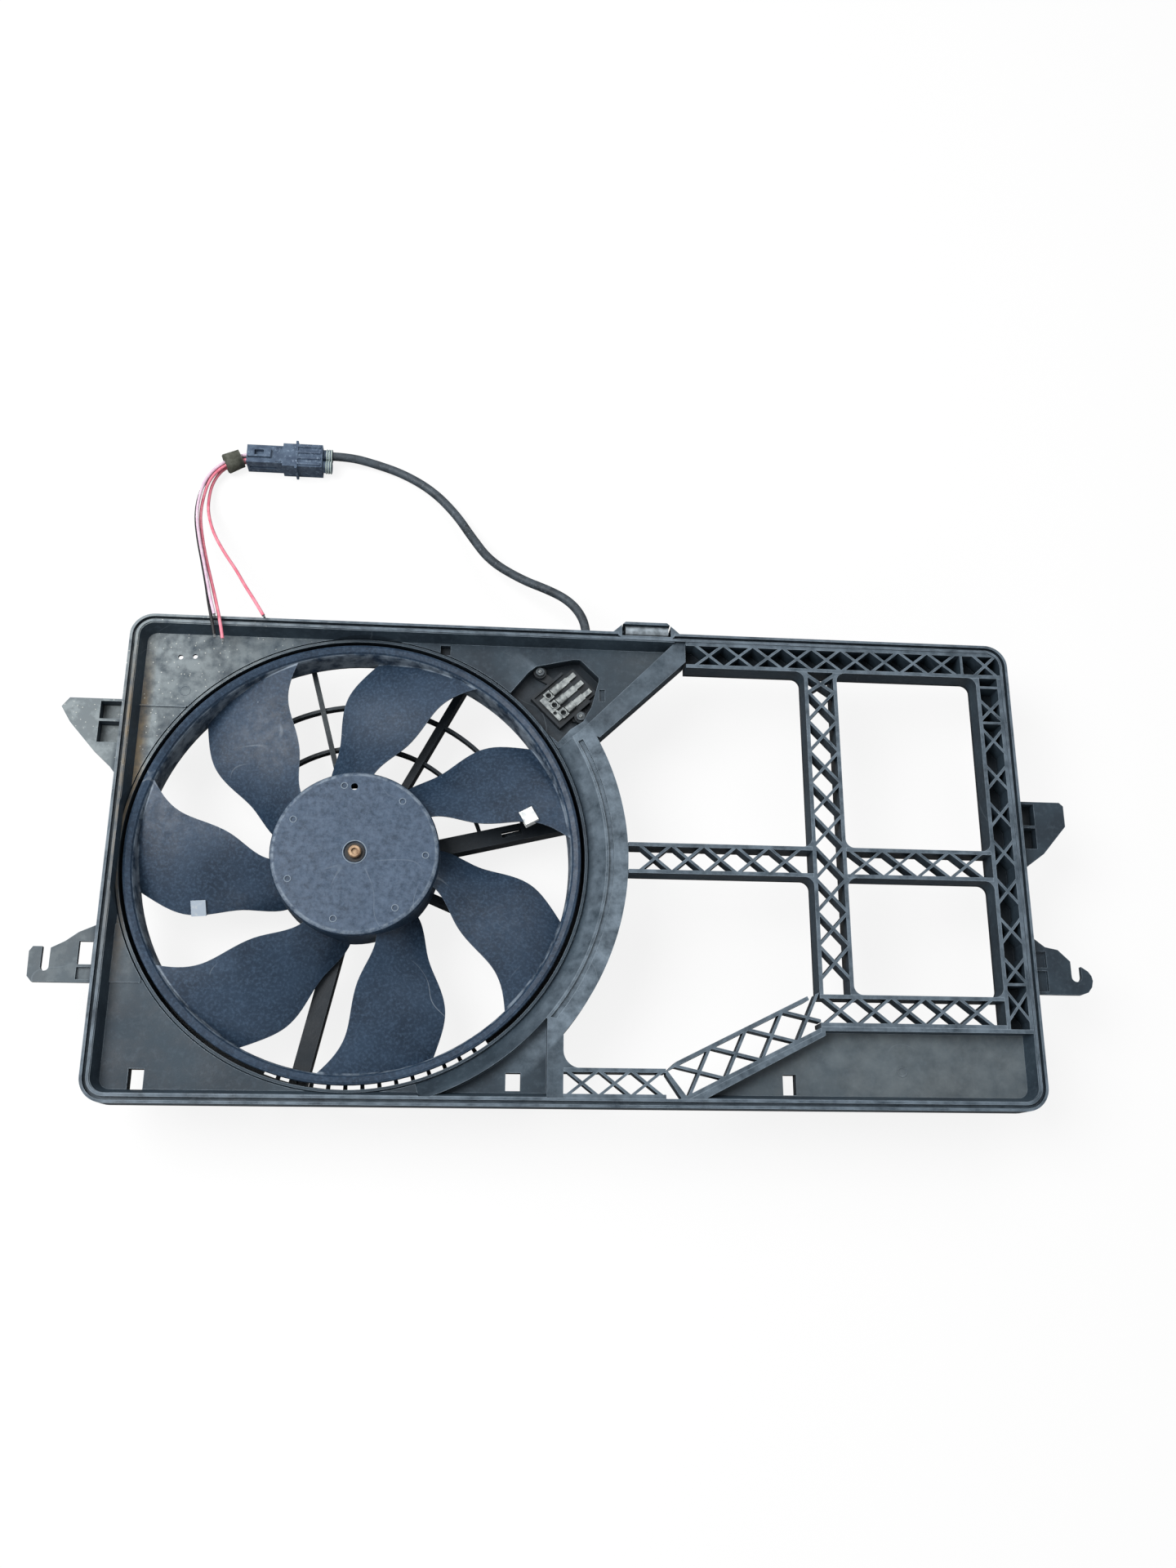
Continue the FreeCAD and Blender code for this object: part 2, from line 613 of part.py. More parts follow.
def lattice_frame():
    top_low = S.chord_top
    post_right = S.post_left + S.post_wide
    corner_low = S.low_top - S.low_tall
    pitch_top = 24
    right_end = S.chord_right
    top_beam = lattice("top_lattice", strut_far_x, top_low, inner_x, inner_y, strut_far_x + 18.6, pitch_top, 9,
                       back=True, ends=[(right_end - 11.7, top_low, right_end - 9.7, inner_y)],
                       extra=[(right_end + 8.8, 20)])
    keep(common("top_beam_fitted", top_beam, inside_rim("top_beam_limit", lattice_low, S.rim_high)), "top_beam")
    right_beam = lattice("right_lattice", right_end, corner_low, inner_x, top_low, corner_low + 44.4, 30.9, 7, along="y",
                         cell=21, back=True, ends=[
                             (right_end, top_low - 39.5, inner_x, top_low - 37.5),
                             (right_end, top_low - 8.9, inner_x, top_low - 6.9),
                             (right_end, S.low_top + 8.8, inner_x, S.low_top + 10.8)],
                         extra=[(top_low - 27.5, 18), (corner_low + 17.5, 24)])
    mid_top = S.mid_low + S.mid_tall
    webs = corner_webs("right_beam", [(right_end, top_low, -1, -1), (right_end, mid_top, -1, 1),
                                      (right_end, S.mid_low, -1, -1), (right_end, S.low_top, -1, 1)])
    keep(fuse("right_beam_parts", [right_beam] + webs), "right_beam")
    post = lattice("post_lattice", S.post_left, S.low_top, post_right, top_low, -78, 25.9, 9, along="y",
                   extra=[(top_low - 10, 16.5)])
    webs = corner_webs("post", [
        (S.post_left, top_low, -1, -1), (post_right, top_low, 1, -1), (S.post_left, mid_top, -1, 1),
        (post_right, mid_top, 1, 1), (S.post_left, S.mid_low, -1, -1), (post_right, S.mid_low, 1, -1),
        (post_right, S.low_top, 1, 1)])
    keep(fuse("post_parts", [post] + webs), "centre_post")
    edge = S.fan_x + S.flange_radius - 0.6
    mid_left = lattice("mid_left_beam", edge, S.mid_low, S.post_left, mid_top, edge + 20.7, 25.2, 5)
    rounding = disc("mid_left_seat", S.flange_radius, lattice_low - 1, lattice_top + 1, S.fan_x)
    keep(cut("mid_left_fitted", mid_left, rounding), "mid_beam_left")
    mid_right = lattice("mid_beam_right", post_right, S.mid_low, right_end, mid_top, post_right + 15, 26.7, 4)
    keep(mid_right, "mid_beam_right")
    bottom = lattice("bottom_beam", S.post_left, corner_low, right_end, S.low_top, S.post_left + 15.5, 26.1, 5)
    keep(bottom, "bottom_beam")


def diagonal_line():
    """Lower edge of the diagonal beam, which the corner tray shares: its start, run and climb."""
    x0, y0 = 86, 9 - number(half_tall)
    return x0, y0, number(S.post_left) + 2.9 - x0, number(S.low_top) - 26.7 - y0


def diagonal_beam():
    """Slanting band of large diamonds between the lower lattice and the centre post."""
    x0, y0, run, climb = diagonal_line()
    lean = math.degrees(math.atan2(climb, run))
    long = math.hypot(run, climb)
    body = lattice("diagonal_lattice", -24, 0, long, 28, 10, 30.5, 4)
    body.Placement = FreeCAD.Placement(Vector(x0, y0, 0), FreeCAD.Rotation(UP, lean))
    space = plate("diagonal_space", lattice_low - 1, lattice_top + 1, [
        (64, 26 - half_tall), (64, -inner_y), (S.post_left, -inner_y), (S.post_left, S.low_top + 12),
        (140, S.low_top + 12)])
    tail = plate("diagonal_tail", lattice_top - S.bar_deep, lattice_top, [
        (64, 28 - half_tall), (64, 23.5 - half_tall), (75.5, -inner_y), (80.5, -inner_y)])
    keep(common("diagonal_fitted", fuse("diagonal_parts", [body, tail]), space), "diagonal_beam")


def lower_lattice():
    """Thin open lattice between the fan's flange and the diagonal beam, above the bottom rim."""
    body = lattice("lower_lattice_beam", strip_right, -inner_y, 64, 28 - half_tall, strip_right + 13.5, 23.6, 3)
    keep(body, "lower_lattice")


def corner_tray():
    """Closed recessed corner below the bottom beam."""
    low_edge = S.low_top - S.low_tall
    x0, y0, run, climb = diagonal_line()
    tip = x0 - (number(inner_y) + y0) * run / climb
    shoulder = y0 + (number(S.post_left) - x0) * climb / run
    corners = [(tip, -inner_y), (S.post_left, shoulder), (S.post_left, low_edge), (inner_x, low_edge),
               (inner_x, -inner_y)]
    inset = [(tip + 9.5, -inner_y - 1), (S.post_left + 3, low_edge - 6.5), (S.post_left + 3, low_edge - 3),
             (inner_x + 1, low_edge - 3), (inner_x + 1, -inner_y - 1)]
    blank = plate("tray_blank", floor_low, lattice_top, corners)
    corner = inside_rim("tray_corners", floor_low - 1, S.rim_high)
    hollow = common("tray_hollow", slope_tool("tray_slope"), plate("tray_inset", floor_top, S.rim_high + 1, inset))
    hole = block("tray_hole", 153, 11 - half_tall, floor_low - 9, 163, 26 - half_tall, floor_top + 1)
    chimney = block("tray_chimney", 151, 9 - half_tall, floor_low - 8, 165, 28 - half_tall, floor_low + 1)
    dimple = disc("tray_dimple", 3, floor_top - 0.6, floor_top + 1, 244, 29 - half_tall)
    tray = cut("tray_dished", common("tray_rounded", blank, corner), hollow)
    keep(cut("tray_fitted", fuse("tray_parts", [tray, chimney]), fuse("tray_spaces", [hole, dimple])), "corner_tray")


# Motor support, hooks and brackets


ARMS = [(13.6, 13.5), (63, 6), (105.5, 4), (136, 5), (186, 6), (258, 13), (337, 6)]
GUARDS = (98, 133)
guard_sweep = 123


def motor_support():
    """Arms, guard rings and the ring that carries the motor."""
    ring_inner = S.can_radius + S.ring_gap
    ring_outer = ring_inner + S.ring_wide
    pieces = [ring("motor_ring", ring_inner, ring_outer, S.arm_back, S.collar_back)]
    for i, (direction, wide) in enumerate(ARMS):
        arm = doc.addObject("Part::Box", f"arm_{i}")
        arm.Length = number(collar_outer - ring_outer + 1)
        bind(arm, "Length", collar_outer - ring_outer + 1)
        arm.Width = wide
        arm.Height = number(S.collar_back - S.arm_back)
        bind(arm, "Height", S.collar_back - S.arm_back)
        around = FreeCAD.Rotation(UP, direction)
        arm.Placement = FreeCAD.Placement(
            around.multVec(Vector(number(ring_outer) - 1, -wide / 2, number(S.arm_back))), around)
        pieces.append(arm)
    for i, radius in enumerate(GUARDS):
        low, high = S.arm_back + 5, S.collar_back - 3
        guard = sector(f"guard_{i}", ARMS[0][0], ARMS[0][0] + guard_sweep, [
            (radius - 1.25, low), (radius + 1.25, low), (radius + 1.25, high), (radius - 1.25, high)], at_fan=False)
        pieces.append(guard)
    direction, wide = ARMS[0]
    around = FreeCAD.Rotation(UP, direction)
    channel = doc.addObject("Part::Box", "arm_channel")
    channel.Length = number(collar_outer - ring_outer)
    channel.Width = wide - 4
    channel.Height = 12
    channel.Placement = FreeCAD.Placement(
        around.multVec(Vector(number(ring_outer) + 3, 2 - wide / 2, number(S.arm_back) - 1)), around)
    slot = doc.addObject("Part::Box", "arm_slot")
    slot.Length = 16
    slot.Width = 5
    slot.Height = 10
    slot.Placement = FreeCAD.Placement(around.multVec(Vector(114, -2.5, number(S.collar_back) - 8)), around)
    edge = S.can_radius + S.ring_gap + S.ring_wide / 2
    spaces = [channel, slot]
    for i, direction in enumerate(SCREW_DIRECTIONS):
        spot = FreeCAD.Rotation(UP, direction).multVec(Vector(number(edge), 0, 0))
        spaces.append(disc(f"support_screw_hole_{i}", S.screw_radius + 0.15, S.arm_back - 1, S.collar_back + 1,
                           spot.x, spot.y))
    outside = disc("support_limit", collar_outer, S.arm_back - 1, S.collar_back + 1)
    rest = cut("support_opened", fuse("support_parts", pieces), fuse("support_spaces", spaces))
    keep(common("support_trimmed", rest, outside), "motor_support", at_fan=True)


SCREW_DIRECTIONS = (90, 210, 330)


def side_plates():
    """Brackets with their ribbed boxes, and open hooks, on the two side walls of the rim."""
    high = S.rim_high - S.hook_drop
    low = high - S.hook_thick
    box_low = low - 8
    edge = half_wide
    reach = half_wide + S.hook_reach
    left = fuse("left_bracket_parts", [
        plate("left_bracket_plate", low, high, [
            (-edge, 55), (-edge, 117.4), (6 - reach, 117.4), (0.5 - reach, 110), (8.2 - reach, 97.5),
            (-edge - 20, 75.7), (-edge - 7, 63.7)]),
        block("left_bracket_web", -edge - 20, 79, box_low, -edge, 117.4, low)])
    boxes = [block("left_box_0", -edge - 18, 101, low - 6, -edge - 2, 115.4, high + 1),
             block("left_box_1", -edge - 18, 82, low - 6, -edge - 2, 99, high + 1)]
    keep(cut("left_bracket_hollow", left, fuse("left_boxes", boxes)), "bracket_upper_left")
    right = fuse("right_bracket_parts", [
        plate("right_bracket_plate", low, high, [
            (edge, -0.8), (edge + 19, 13.1), (edge + 38.7, 36), (edge + 38.7, 52.8), (edge + 35.5, 55.8),
            (edge, 55.8)]),
        block("right_bracket_web", edge, 15, box_low, edge + 16, 55.8, low)])
    boxes = [block("right_box_0", edge + 2, 17, low - 6, edge + 14, 34, high + 1),
             block("right_box_1", edge + 2, 36, low - 6, edge + 14, 53.8, high + 1)]
    keep(cut("right_bracket_hollow", right, fuse("right_boxes", boxes)), "bracket_upper_right")
    hook_left = plate("hook_left_plate", low, high, [
        (-edge, -101), (4 - reach, -101), (0.5 - reach, -97), (-reach, -79), (2.5 - reach, -75.3),
        (9 - reach, -75.3), (9 - reach, -90), (9 + S.slot_left - reach, -90), (9 + S.slot_left - reach, -76.3),
        (-edge - 23, -71.3), (-edge - 14, -64.4), (-edge, -58)])
    window = block("hook_left_window", -edge - 13, -88, low - 1, -edge - 3, -71, high + 1)
    pocket = block("hook_left_pocket", -edge - 13, -99, high - 2.5, -edge - 3, -90, high + 1)
    seat = disc("hook_left_seat", S.slot_left / 2, low - 1, high + 1, 9 + S.slot_left / 2 - reach, -90)
    keep(cut("hook_left_cut", hook_left, fuse("hook_left_spaces", [window, pocket, seat])), "hook_left")
    inner = reach - 8.5 - S.slot_right
    hook_right = plate("hook_right_plate", low, high, [
        (edge, -98), (reach - 10, -98), (reach - 4.5, -96.1), (reach - 1.2, -92), (reach, -87), (reach - 0.8, -83.2),
        (reach - 3.2, -79.8), (reach - 8.5, -76.3),
        (reach - 8.5, -84), (inner, -84), (inner, -72.3), (edge + 21.8, -63.4), (edge + 11.9, -61.4), (edge, -52)])
    pockets = [block("hook_right_pocket_0", edge + 3, -77.5, high - 2.5, edge + 12, -65, high + 1),
               block("hook_right_pocket_1", edge + 3, -96, high - 2.5, edge + 12, -80, high + 1)]
    seat = disc("hook_right_seat", S.slot_right / 2, low - 1, high + 1, inner + S.slot_right / 2, -84)
    keep(cut("hook_right_cut", hook_right, fuse("hook_right_spaces", pockets + [seat])), "hook_right")


CLIP_LEFT = 30.5
CLIP_RIGHT = 76
clip_inside = 5


def clip_outline():
    """Holder in plan: a tub across the rim, with sloping shoulders outside it."""
    edge = half_tall
    back = half_tall + S.clip_reach
    inner = half_tall - clip_inside
    return [(CLIP_LEFT, inner + 2.5), (CLIP_LEFT + 2.5, inner), (CLIP_RIGHT - 2.5, inner), (CLIP_RIGHT, inner + 2.5),
            (CLIP_RIGHT, edge), (CLIP_RIGHT + 4, edge), (CLIP_RIGHT - 6, back), (CLIP_LEFT + 6, back),
            (CLIP_LEFT - 4, edge), (CLIP_LEFT, edge)]


def top_clips():
    """Moulded holder in the top edge, with the folded sheet-metal clip in it."""
    low = S.rim_high - clip_deep
    back = half_tall + S.clip_reach
    inner = half_tall - clip_inside
    shell = plate("holder_block", low, S.rim_high, clip_outline())
    metal_left = CLIP_LEFT + 6
    metal_right = CLIP_RIGHT - 5
    space = block("holder_space", CLIP_LEFT + 3, inner + 2, low + 2, CLIP_RIGHT - 3, back - 2, S.rim_high + 1)
    keep(cut("holder_hollow", shell, space), "clip_holder")
    round_top = (S.clip_reach + clip_inside - 4) / 2
    middle = back - 2 - round_top
    metal = block("clip_block", metal_left, inner + 2, low + 2, metal_right, back - 2, S.rim_high - round_top)
    crown = doc.addObject("Part::Cylinder", "clip_crown")
    crown.Radius = number(round_top)
    bind(crown, "Radius", round_top)
    crown.Height = metal_right - metal_left
    crown.Placement = FreeCAD.Placement(Vector(metal_left, number(middle), number(S.rim_high - round_top)),
                                        FreeCAD.Rotation(Vector(0, 1, 0), 90))
    slit = block("clip_slit", metal_left - 1, inner + 3.2, low + 1, metal_right + 1, back - 3.2,
                 S.rim_high - round_top)
    keep(cut("clip_folded", fuse("clip_solid", [metal, crown]), slit), "top_clip")


clip_deep = 16


# Resistor


RESISTOR_TURN = 44
resistor_x, resistor_y = -14, number(133 + above)


def resistor():
    """Open speed resistor in its pocket: base, three tinned strips with eyelets, and two screws."""
    low = floor_top - pocket_deep
    base = block("resistor_body", -17, -17, low, 17, 17, low + 6)
    well = block("resistor_well", -15, -15, low + 4, 18, 15, low + 7)
    tail = block("resistor_tail", 17, -14, low, 27, 14, low + 2.5)
    turned_base = fuse("resistor_moulded", [cut("resistor_tub", base, well), tail])
    turned_base.Placement = FreeCAD.Placement(Vector(resistor_x, resistor_y, 0), FreeCAD.Rotation(UP, RESISTOR_TURN))
    bosses = [disc(f"resistor_boss_{i}", 5, low, low + 6, x, y) for i, (x, y) in enumerate(RESISTOR_SCREWS)]
    links = [plate("resistor_link_0", low, low + 3, [
                 (-34, 152 + above), (-22, 146 + above), (-20, 152 + above), (-31, 160 + above)]),
             plate("resistor_link_1", low, low + 3, [
                 (-4, 116 + above), (3, 115 + above), (5, 122 + above), (-6, 125 + above)])]
    holes = [disc(f"resistor_hole_{i}", 1.7, low - 1, low + 7, x, y) for i, (x, y) in enumerate(RESISTOR_SCREWS)]
    limit = pocket_space("resistor_limit", 2.3, low, 9)
    moulded = common("resistor_all", fuse("resistor_parts", [turned_base] + bosses + links), limit)
    finished = cut("resistor_finished", moulded, fuse("resistor_holes", holes))
    for item in (moulded, finished):
        item.Refine = False
    keep(finished, "resistor_base")
    strips = []
    strip_low = low + 4
    rows = [(9, -8, 24), (0, -10, 24), (-9.5, -9, 24)]
    for i, (across, start, stop) in enumerate(rows):
        strips.append(block(f"strip_{i}", start, across - 2.6, strip_low, stop - 8, across + 2.6, strip_low + 1.6))
        strips.append(block(f"finger_{i}", stop - 8, across - 1.9, strip_low, stop, across + 1.9, strip_low + 1.2))
        strips.append(block(f"fold_{i}", start, across - 3.6, strip_low, start + 6, across + 3.6, strip_low + 2.6))
    bar = block("strip_bar", -13, -12, strip_low, -8, 11, strip_low + 1.6)
    tinned = fuse("strips", strips + [bar])
    eyes = [disc(f"eyelet_{i}", 2, strip_low - 1, strip_low + 4, start + 3, across)
            for i, (across, start, stop) in enumerate(rows)]
    eyes.append(disc("eyelet_3", 1.5, strip_low - 1, strip_low + 4, -11, -5))
    metal = cut("strips_pierced", tinned, fuse("eyelets", eyes))
    metal.Placement = FreeCAD.Placement(Vector(resistor_x, resistor_y, 0), FreeCAD.Rotation(UP, RESISTOR_TURN))
    keep(group("strips_placed", [metal]), "resistor_terminals")
    screws = []
    for i, (x, y) in enumerate(RESISTOR_SCREWS):
        head = disc(f"small_head_{i}", 3.4, low + 6, low + 8, x, y)
        shank = disc(f"small_shank_{i}", 1.7, low, low + 6, x, y)
        recess = disc(f"small_recess_{i}", 1.2, low + 7, low + 9, x, y)
        screws.append(cut(f"small_screw_{i}", fuse(f"small_solid_{i}", [head, shank]), recess))
    keep(group("resistor_screw_pair", screws), "resistor_screws")


RESISTOR_SCREWS = [(-31, 156 + above), (2, 119 + above)]


# Fan


# A blade's stations: share of the span, share of the widest chord, share of the lean, share of the drop.
BLADE_STATIONS = [(-0.12, 0.95, -0.28, 1.58), (0.05, 0.957, -0.12, 1.56), (0.26, 0.99, 0.32, 1.45),
                  (0.45, 1.0, 0.45, 1.33), (0.66, 0.947, 0.57, 1.2), (0.83, 0.885, 0.79, 1.12),
                  (1.0, 0.861, 1.04, 1.1), (1.04, 0.851, 1.09, 1.1)]


def blade_spot(station, share, rise):
    """Point on the first blade: share runs from the leading edge, -1, to the trailing edge, 1."""
    span, chord, lean, fall = station
    hub = number(S.hub_radius)
    reach = hub + span * (number(S.band_radius) - hub)
    half = reach * number(S.blade_chord) * chord / 2
    around = math.radians(number(S.blade_start) - number(S.blade_lean) * lean)
    out = Vector(math.cos(around), math.sin(around), 0)
    side = Vector(-math.sin(around), math.cos(around), 0)
    height = number(band_top) - number(S.blade_high) - number(S.blade_drop) * fall * (share + 1) / 2
    height += number(S.blade_camber) * (1 - share * share) + rise
    return out * reach + side * (half * share) + UP * height


def blade():
    """One sickle blade, lofted outwards through thin cambered sections."""
    thick = number(S.blade_thick)
    sections = []
    for station in BLADE_STATIONS:
        edges = [Part.Arc(blade_spot(station, -1, thick * 0.3), blade_spot(station, 0, thick / 2),
                          blade_spot(station, 1, thick * 0.2)),
                 Part.LineSegment(blade_spot(station, 1, thick * 0.2), blade_spot(station, 1, -thick * 0.2)),
                 Part.Arc(blade_spot(station, 1, -thick * 0.2), blade_spot(station, 0, -thick / 2),
                          blade_spot(station, -1, -thick * 0.3)),
                 Part.LineSegment(blade_spot(station, -1, -thick * 0.3), blade_spot(station, -1, thick * 0.3))]
        sections.append(Part.Wire([edge.toShape() for edge in edges]))
    return Part.makeLoft(sections, True, False)


DIMPLES = 7


def fan_wheel():
    """Hub, blades and band in one moulding."""
    wall = number(S.wall)
    hub = number(S.hub_radius)
    top, low = number(hub_top), number(hub_low)
    boss_low = number(S.can_front) + 3
    seat = top - 1.5
    profile = [(INSERT_RADIUS, boss_low), (INSERT_RADIUS + 4, boss_low), (INSERT_RADIUS + 4, top - wall),
               (hub - wall, top - wall), (hub - wall, low), (hub, low), (hub, top - 3), (hub - 0.9, top - 0.9),
               (hub - 3, top), (RECESS_RADIUS, top), (RECESS_RADIUS, seat), (INSERT_RADIUS, seat)]
    hub_shape = revolve(profile)
    band = number(S.band_radius)
    inner = band - number(S.band_wall)
    lip = band + number(S.lip_reach)
    high, back = number(band_top), number(band_low)
    band_shape = revolve([(inner, back), (band, back), (band, high - 4.5), (lip - 1, high - 3), (lip, high - 2),
                          (lip - 0.6, high - 0.6), (lip - 2.4, high), (inner + 2.2, high - 1.2),
                          (inner + 0.6, high - 3.4), (inner, high - 6)])
    between = Part.makeCylinder(band - wall / 2, 60, Vector(0, 0, back - 10)).cut(
        Part.makeCylinder(hub - wall / 2, 80, Vector(0, 0, back - 20)))
    one = blade().common(between)
    count = round(number(S.blade_count))
    blades = []
    for i in range(count):
        turned_blade = one.copy()
        turned_blade.rotate(Vector(0, 0, 0), UP, 360 * i / count)
        blades.append(turned_blade)
    whole = hub_shape.multiFuse([band_shape] + blades)
    spaces = []
    for i in range(DIMPLES):
        around = math.radians(360 * i / DIMPLES - 1.4)
        spaces.append(Part.makeCylinder(1.9, 2, Vector(53 * math.cos(around), 53 * math.sin(around), top - 0.6)))
    spaces.append(Part.makeCylinder(2.7, 10, Vector(-2.9, 51.5, top - 6)))
    wheel = doc.addObject("Part::Feature", "fan_wheel")
    wheel.Shape = whole.cut(Part.makeCompound(spaces))
    return keep(wheel, "fan_wheel", at_fan=True)


INSERT_RADIUS = 7
RECESS_RADIUS = 8.5


def revolve(profile):
    corners = [Vector(radius, 0, height) for radius, height in profile]
    face = Part.Face(Part.makePolygon(corners + corners[:1]))
    return face.revolve(Vector(0, 0, 0), UP, 360)


def balance_clips(wheel):
    """Two clips pushed on the edges of blades to balance the wheel: blade, station and edge."""
    clips = []
    seated = wheel.Shape.copy()
    seated.Placement = FreeCAD.Placement()
    for turn, station, edge in ((1, BLADE_STATIONS[4], -1), (-2, (0.54, 0.975, 0.51, 1.27), 1)):
        spot = blade_spot(station, edge, 0)
        inner = blade_spot(station, edge * 0.6, 0)
        clip = Part.makeBox(11, 12, 6, Vector(-5.5, -1.5, -3)).cut(Part.makeBox(13, 12, 3.6, Vector(-6.5, 0.3, -1.8)))
        into = inner - spot
        slope = math.degrees(math.atan2(into.z, math.hypot(into.x, into.y)))
        clip.rotate(Vector(0, 0, 0), Vector(1, 0, 0), slope)
        clip.rotate(Vector(0, 0, 0), UP, math.degrees(math.atan2(into.y, into.x)) - 90)
        clip.translate(spot)
        clip.rotate(Vector(0, 0, 0), UP, -360 * turn / round(number(S.blade_count)))
        clips.append(max(clip.cut(seated).Solids, key=lambda solid: solid.Volume))
    pair = doc.addObject("Part::Feature", "balance_clips")
    pair.Shape = Part.makeCompound(clips)
    keep(pair, "balance_clips", at_fan=True)


def fan_fixings():
    """Brass insert in the hub, washer and socket screw."""
    seat = hub_top - 1.5
    keep(turned("hub_insert", [(S.shaft_radius, S.can_front + 3), (INSERT_RADIUS, S.can_front + 3),
                               (INSERT_RADIUS, seat), (S.shaft_radius, seat)]), "hub_insert", at_fan=True)
    keep(turned("fan_washer", [(2.7, seat), (7.4, seat), (7.4, seat + 0.8), (2.7, seat + 0.8)]), "fan_washer",
         at_fan=True)
    thread = S.shaft_radius - 1.5
    head_low = seat + 0.8
    keep(turned("fan_screw", [(0, seat - 16), (thread, seat - 16), (thread, head_low), (5, head_low),
                              (5, head_low + 3.2), (4.2, head_low + 4), (2.4, head_low + 4), (2.4, head_low + 1.6),
                              (0, head_low + 1.6)]), "fan_screw", at_fan=True)


# Motor


def motor_case():
    inner = S.can_radius - S.can_wall
    front_in = S.can_front - S.can_wall
    can = turned("can_shell", [
        (inner, S.can_back), (S.can_radius, S.can_back), (S.can_radius, S.can_front - 3),
        (S.can_radius - 3, S.can_front), (S.bearing_radius + 3, S.can_front), (S.bearing_radius + 2, S.can_front + 2),
        (S.bearing_radius - 2, S.can_front + 2), (S.bearing_radius - 2, S.can_front + 0.5),
        (S.bearing_radius, S.can_front + 0.5), (S.bearing_radius, front_in - 4), (S.bearing_radius + 2, front_in - 4),
        (S.bearing_radius + 2, front_in), (inner - 2, front_in), (inner, front_in - 2)])
    edge = S.can_radius + S.ring_gap + S.ring_wide / 2
    ears = []
    holes = []
    for i, direction in enumerate(SCREW_DIRECTIONS):
        around = FreeCAD.Rotation(UP, direction)
        ear = doc.addObject("Part::Box", f"ear_{i}")
        ear.Length = number(edge - S.can_radius) + 6
        ear.Width = 12
        ear.Height = number(S.ear_thick)
        bind(ear, "Height", S.ear_thick)
        ear.Placement = FreeCAD.Placement(
            around.multVec(Vector(number(S.can_radius) - 1, -6, number(S.collar_back))), around)
        ears.append(ear)
        spot = around.multVec(Vector(number(edge), 0, 0))
        holes.append(disc(f"ear_hole_{i}", S.screw_radius, S.collar_back - 1, S.collar_back + 10, spot.x, spot.y))
    keep(cut("can_pierced", fuse("can_with_ears", [can] + ears), fuse("ear_holes", holes)), "motor_can", at_fan=True)
    cap = turned("cap_shell", [
        (0, 0), (S.can_radius - 8, 0), (S.can_radius - 2, 4), (S.can_radius, 8), (S.can_radius, S.can_back),
        (inner, S.can_back), (inner, 8), (S.can_radius - 5, 5), (S.can_radius - 9, S.wall),
        (S.bearing_radius + 3, S.wall), (S.bearing_radius + 3, S.wall + S.bearing_long),
        (S.bearing_radius, S.wall + S.bearing_long), (S.bearing_radius, S.wall), (0, S.wall)])
    notch = block("cap_notch", 0, 0, 0, 9, 10, 9)
    around = FreeCAD.Rotation(UP, ARMS[0][0])
    notch.Placement = FreeCAD.Placement(around.multVec(Vector(number(inner) - 4, -5, 9.5)), around)
    keep(cut("cap_notched", cap, notch), "motor_end_cap", at_fan=True)
    screws = []
    for i, direction in enumerate(SCREW_DIRECTIONS):
        spot = FreeCAD.Rotation(UP, direction).multVec(Vector(number(edge), 0, 0))
        shank = disc(f"motor_shank_{i}", S.screw_radius, S.arm_back, S.collar_back + S.ear_thick + 1.5, spot.x, spot.y)
        head = disc(f"motor_head_{i}", 4, S.arm_back - 3, S.arm_back, spot.x, spot.y)
        socket = disc(f"motor_socket_{i}", 1.8, S.arm_back - 4, S.arm_back - 1.2, spot.x, spot.y)
        screws.append(cut(f"motor_screw_{i}", fuse(f"motor_screw_solid_{i}", [shank, head]), socket))
    keep(group("motor_screw_set", screws), "motor_screws", at_fan=True)


